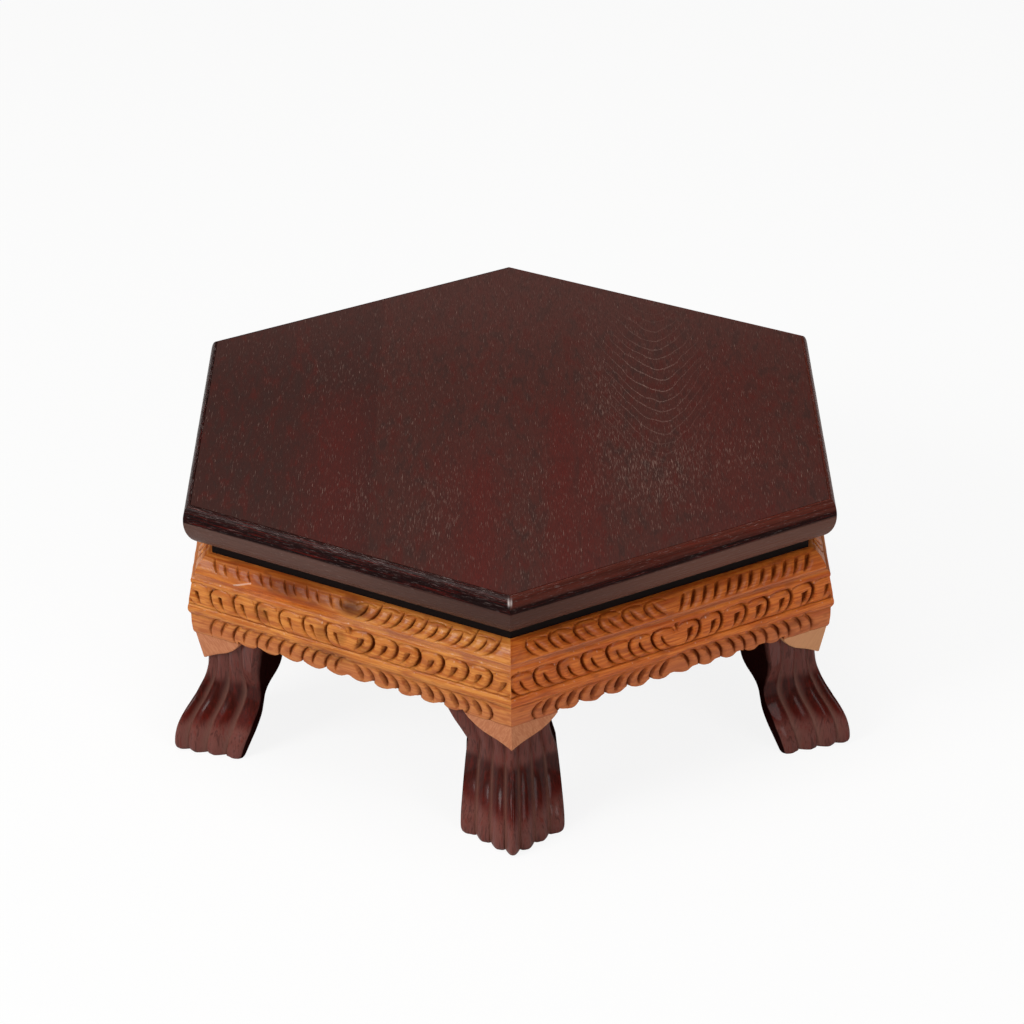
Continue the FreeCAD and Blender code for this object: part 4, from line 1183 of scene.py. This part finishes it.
# Left and right shoulder of each leg, as seen from outside
SHOULDERS = {"back_right": (FANNED * 0.5, FANNED * 0.3), "back": (FANNED * 0.4, SWEPT),
             "back_left": (FANNED * 0.3, FANNED * 0.5), "front_left": (FANNED * 0.3, FANNED * 0.5),
             "front": (SWEPT, WAISTED), "front_right": (FANNED * 0.5, FANNED * 0.3)}


def curve_through(x, knots, values):
    """A smooth curve through given values, without overshoot."""
    slopes = np.diff(values) / np.diff(knots)
    tangents = np.concatenate([[slopes[0]], (slopes[1:] + slopes[:-1]) / 2, [slopes[-1]]])
    tangents[1:-1][slopes[1:] * slopes[:-1] <= 0] = 0
    i = np.clip(np.searchsorted(knots, x, "right") - 1, 0, len(knots) - 2)
    width = knots[i + 1] - knots[i]
    t = (x - knots[i]) / width
    return ((2 * t**3 - 3 * t**2 + 1) * values[i] + (t**3 - 2 * t**2 + t) * width * tangents[i]
            + (3 * t**2 - 2 * t**3) * values[i + 1] + (t**3 - t**2) * width * tangents[i + 1])


def vee_depth(slope, aside):
    """How far the two sides of a leg's front fall back beside its rounded front edge."""
    return slope[:, None] * (np.hypot(aside, VEE_NOSE) - VEE_NOSE)


def reeds(levels, across, half, slope):
    """Depth of the reeds behind the leg's front edge, of the creases between them, from 0 to 1,
    and how dusty these are."""
    toe = np.interp(levels, TOE_FADE, [1.0, 0.0])[:, None]
    phase = (across + 1) / 2 * REEDS % 1
    phase[-1] = 1.0
    depth = vee_depth(slope, half[:, None] * across[None, :])
    # Each reed turns about its own middle, most of all at the toes, which end round
    middles = half[:, None] * ((np.arange(REEDS) + 0.5) / REEDS * 2 - 1)
    middle_depth = vee_depth(slope, middles)
    beside = np.clip((across + 1) / 2 * REEDS - 0.5, 0, REEDS - 1)
    lower = np.minimum(beside.astype(int), REEDS - 2)
    step = (beside - lower) ** 2 * (3 - 2 * (beside - lower))
    stepped = middle_depth[:, lower] * (1 - step) + middle_depth[:, lower + 1] * step
    depth += (stepped - depth) * (0.4 + 0.4 * toe)
    # The outer reeds have no crease on their open side, and are rounded off there
    reed = np.floor(np.clip((across + 1) / 2 * REEDS, 0, REEDS - 1e-6)).astype(int)
    open_side = ((reed == 0) & (phase < 0.5)) | ((reed == REEDS - 1) & (phase > 0.5))
    valley = np.abs(2 * phase - 1) ** (1.9 + 0.6 * toe)
    depth += np.where(open_side, valley, 0) * (0.8 + 2.4 * toe)
    dust = (np.where(open_side, 0, np.abs(2 * phase - 1) ** 3.3)
            * np.interp(levels, DUST_FADE, [1, 0.5])[:, None])
    return depth, np.where(open_side, 0, valley), dust


def leg_plan(front, back, tangential):
    """Closed outline of a leg at each height: its front, one side, its back and the other side."""
    steps = np.linspace(0, 1, 7)[1:-1]
    right = np.stack([front[:, -1:] + (back[:, None] - front[:, -1:]) * steps,
                      tangential[:, -1:] + 0 * steps], -1)
    left = np.stack([back[:, None] + (front[:, :1] - back[:, None]) * steps,
                     tangential[:, :1] + 0 * steps], -1)
    turn = np.linspace(0, 1, 9)
    behind = np.stack([np.repeat(back[:, None], 9, 1),
                       tangential[:, -1:] + (tangential[:, :1] - tangential[:, -1:]) * turn], -1)
    return np.concatenate([np.stack([front, tangential], -1), right, behind, left], 1)


def leg_post(ring):
    """Two rings of the post above the shoulder, planed to fit the inner corner of the apron."""
    post = ring.copy()
    post[:, 1] = np.clip(post[:, 1], -NECK_HALF, NECK_HALF)
    post[:, 0] = np.minimum(post[:, 0], APRON_CORNER - np.abs(post[:, 1]) / TAN_60)
    low_post, high_post = post.copy(), post.copy()
    low_post[:, 2] = SHOULDER + SHOULDER_STEP
    high_post[:, 2] = APRON_TOP
    return np.stack([low_post, high_post])


def leg_piece(name, angle, number):
    """A reeded leg, from its toes up past the shoulder to the post behind the apron's corner."""
    levels = np.concatenate([np.linspace(0, 6, 9), np.linspace(7, SHOULDER, 70)])
    kick, heel, spread, slope, crease = (
        curve_through(levels / SHOULDER, LEG_LEVELS[:, 0], LEG_LEVELS[:, column])
        for column in range(1, 6))
    across = np.linspace(-1, 1, REEDS * 14 + 1)
    half = NECK_HALF + (FOOT_HALF - NECK_HALF) * spread
    left_fan, right_fan = (
        np.interp(levels, SHOULDER_HEIGHTS, table)[:, None] for table in SHOULDERS[name])
    fan = np.where(across < 0, -left_fan, right_fan) * np.abs(across) ** 2.5
    tangential = half[:, None] * across[None, :] + fan
    depth, hollow, dust = reeds(levels, across, half, slope)
    front = (NECK_REACH + TOE_KICK * kick)[:, None] - depth - crease[:, None] * hollow
    spots = np.stack([tangential + 200, levels[:, None] * 0.6 + 50 + 0 * tangential], -1)
    front = front - LEG_WAVES * (1 + smooth_noise(spots, 9.0, 80 + number))

    plan = leg_plan(front, BACK_REACH + HEEL_KICK * heel, tangential)
    ring = np.concatenate([plan, np.repeat(levels[:, None, None], plan.shape[1], 1)], -1)
    ring = np.concatenate([ring, leg_post(ring[-1])])
    rows, count = ring.shape[:2]
    creased = np.zeros((rows, count))
    creased[:len(levels), :len(across)] = dust
    # The sides and back, which the material paints as nearly black shade
    side = np.zeros((rows, count))
    side[:, len(across) + 1:] = 1.0
    grain = ring[..., [2, 1, 0]] * MM + np.array([0.3 * number, 0.11 * number, 0.0])
    piece = mesh_piece(
        "reeded_leg_" + name, turned(ring, angle).reshape(-1, 3),
        closed_faces(np.arange(rows * count).reshape(rows, count).T), LEG,
        {"grain": grain.reshape(-1, 3), "hollow": creased.ravel(), "level": ring[..., 2].ravel(),
         "side": side.ravel()}, 40)
    place(piece, "stained_leg", "leg_" + name)


for number, (name, angle) in enumerate(CORNERS.items()):
    leg_piece(name, angle, number)


# Pieces that keep their solid shape

# For each board of the top: the name of its finish, its tone, whether it is plain-sawn with
# arched rings, its zones of pores (place across and along, half width, half length, strength)
# and its red stripes (place across, half width, place along where it starts, strength), in metres
TOP_BOARDS = {
    "left": ("swirled", "#3f1d17", False,
             [(-0.085, -0.12, 0.04, 0.05, 0.07), (-0.12, 0.07, 0.02, 0.02, 0.05)],
             [(-0.118, 0.022, 0.07, 0.5)]),
    "inner_left": ("straight", "#49221b", False,
                   [(-0.05, -0.14, 0.03, 0.07, 0.07), (-0.08, 0.03, 0.02, 0.08, 0.03)],
                   [(-0.036, 0.016, 0.0, 0.3)]),
    "inner_right": ("red", "#4c231c", False,
                    [(0.02, -0.15, 0.03, 0.08, 0.05)],
                    [(-0.020, 0.014, -0.02, 0.65), (0.036, 0.012, 0.06, 0.6)]),
    "right": ("arched", "#4c241d", True,
              [(0.095, -0.09, 0.04, 0.06, 0.10), (0.065, 0.03, 0.014, 0.08, 0.07),
               (0.15, -0.06, 0.05, 0.04, 0.05)],
              [(0.050, 0.014, 0.03, 0.5), (0.15, 0.03, 0.13, 0.3)])}


def finish_node(name, material):
    """Gives a piece that keeps its solid shape its finish."""
    for slot in nodes[name].material_slots:
        slot.material = material


for name, (kind, *settings) in TOP_BOARDS.items():
    finish_node("top_board_" + name, stained_board("stained_board_" + kind, *settings))
plain = {angle: planed_teak(angle) for angle in (0, 60, 120)}
for name in ("batten_front", "batten_back"):
    finish_node(name, plain[0])
for name, angle in CORNERS.items():
    finish_node("corner_brace_" + name, plain[(angle + 90) % 180])
# Neck frames coloured nearly black as painted shadow
strip = shadow_coloured_frame()
for name in FACES:
    finish_node("neck_frame_" + name, strip)


# Studio

def floor():
    """Plain pale floor that keeps the shadow and shows as white."""
    material, tree = new_material("pale_studio_floor")
    pale = add(tree, "ShaderNodeBsdfPrincipled", None, {
        "Base Color": "#f4f4f3", "Roughness": 0.9, "Specular IOR Level": 0.1})
    white = add(tree, "ShaderNodeEmission", None, {"Color": "#ffffff", "Strength": 1.0})
    share = add(tree, "ShaderNodeMath", {"operation": "MULTIPLY"}, {
        0: add(tree, "ShaderNodeLightPath").outputs["Is Camera Ray"], 1: 0.88})
    mixed = add(tree, "ShaderNodeMixShader", None, {0: share, 1: pale, 2: white})
    add(tree, "ShaderNodeOutputMaterial", None, {"Surface": mixed})
    half = 30.0
    mesh = bpy.data.meshes.new("studio_floor")
    mesh.from_pydata([(-half, -half, 0), (half, -half, 0), (half, half, 0), (-half, half, 0)], [],
                     [(0, 1, 2, 3)])
    mesh.materials.append(material)
    ground = bpy.data.objects.new("studio_floor", mesh)
    bpy.context.scene.collection.objects.link(ground)


def soft_light(name, place_at, aim, size, power):
    """A square lamp, turned to the spot that it aims at."""
    data = bpy.data.lights.new(name, "AREA")
    data.shape = "SQUARE"
    data.size = size
    data.energy = power
    lamp = bpy.data.objects.new(name, data)
    bpy.context.scene.collection.objects.link(lamp)
    lamp.location = place_at
    direction = np.array(aim, float) - np.array(place_at, float)
    back = -direction / np.linalg.norm(direction)
    side = np.cross((0, 0, 1), back)
    side /= np.linalg.norm(side)
    up = np.cross(back, side)
    lamp.matrix_world = Matrix([[side[i], up[i], back[i], place_at[i]] for i in range(3)]
                               + [[0, 0, 0, 1]])


def room():
    """Air that is dim near the ground and bright overhead, most of all to the left."""
    world = bpy.data.worlds.new("studio_air")
    bpy.context.scene.world = world
    world.use_nodes = True
    tree = world.node_tree
    tree.nodes.clear()
    towards = add(tree, "ShaderNodeVectorMath", {"operation": "DOT_PRODUCT"}, {
        0: add(tree, "ShaderNodeTexCoord").outputs["Generated"], 1: (-0.35, -0.10, 0.93)})
    colour = glazed(tree, "#4a4948", "#f2f1ef", towards.outputs["Value"], 0.3, 0.95, 1.0, SMOOTH)
    air = add(tree, "ShaderNodeBackground", None, {"Color": colour, "Strength": 0.6})
    add(tree, "ShaderNodeOutputWorld", None, {"Surface": air})


def studio():
    """Floor, room and three soft lamps."""
    floor()
    room()
    soft_light("key_light", (-2.3, -1.5, 1.9), (0, 0, 0.1), 1.3, 58)
    soft_light("fill_light", (1.9, -2.3, 1.5), (0, 0, 0.1), 1.4, 24)
    soft_light("top_light", (-0.1, 0.1, 2.6), (0, 0, 0.1), 1.3, 18)
    bpy.context.scene.view_settings.view_transform = "Standard"


def camera():
    """The photograph's viewpoint, worked out from the six corners of the top: place in metres,
    then how far the camera looks down, leans and turns, in degrees."""
    data = bpy.data.cameras.new("photo_view")
    data.sensor_width = 36.0
    data.lens = 119.12
    seen = bpy.data.objects.new("photo_view", data)
    bpy.context.scene.collection.objects.link(seen)
    pitch, roll, turn = (math.radians(value) for value in (29.052, -0.647, 0.204))
    facing = (Matrix.Rotation(turn, 4, "Z") @ Matrix.Rotation(math.pi / 2 - pitch, 4, "X")
              @ Matrix.Rotation(roll, 4, "Z"))
    spot = Matrix.Rotation(turn, 4, "Z") @ Matrix.Translation((0.00108, -2.11683, 1.28701))
    facing.translation = spot.translation
    seen.matrix_world = facing
    bpy.context.scene.camera = seen


studio()
camera()
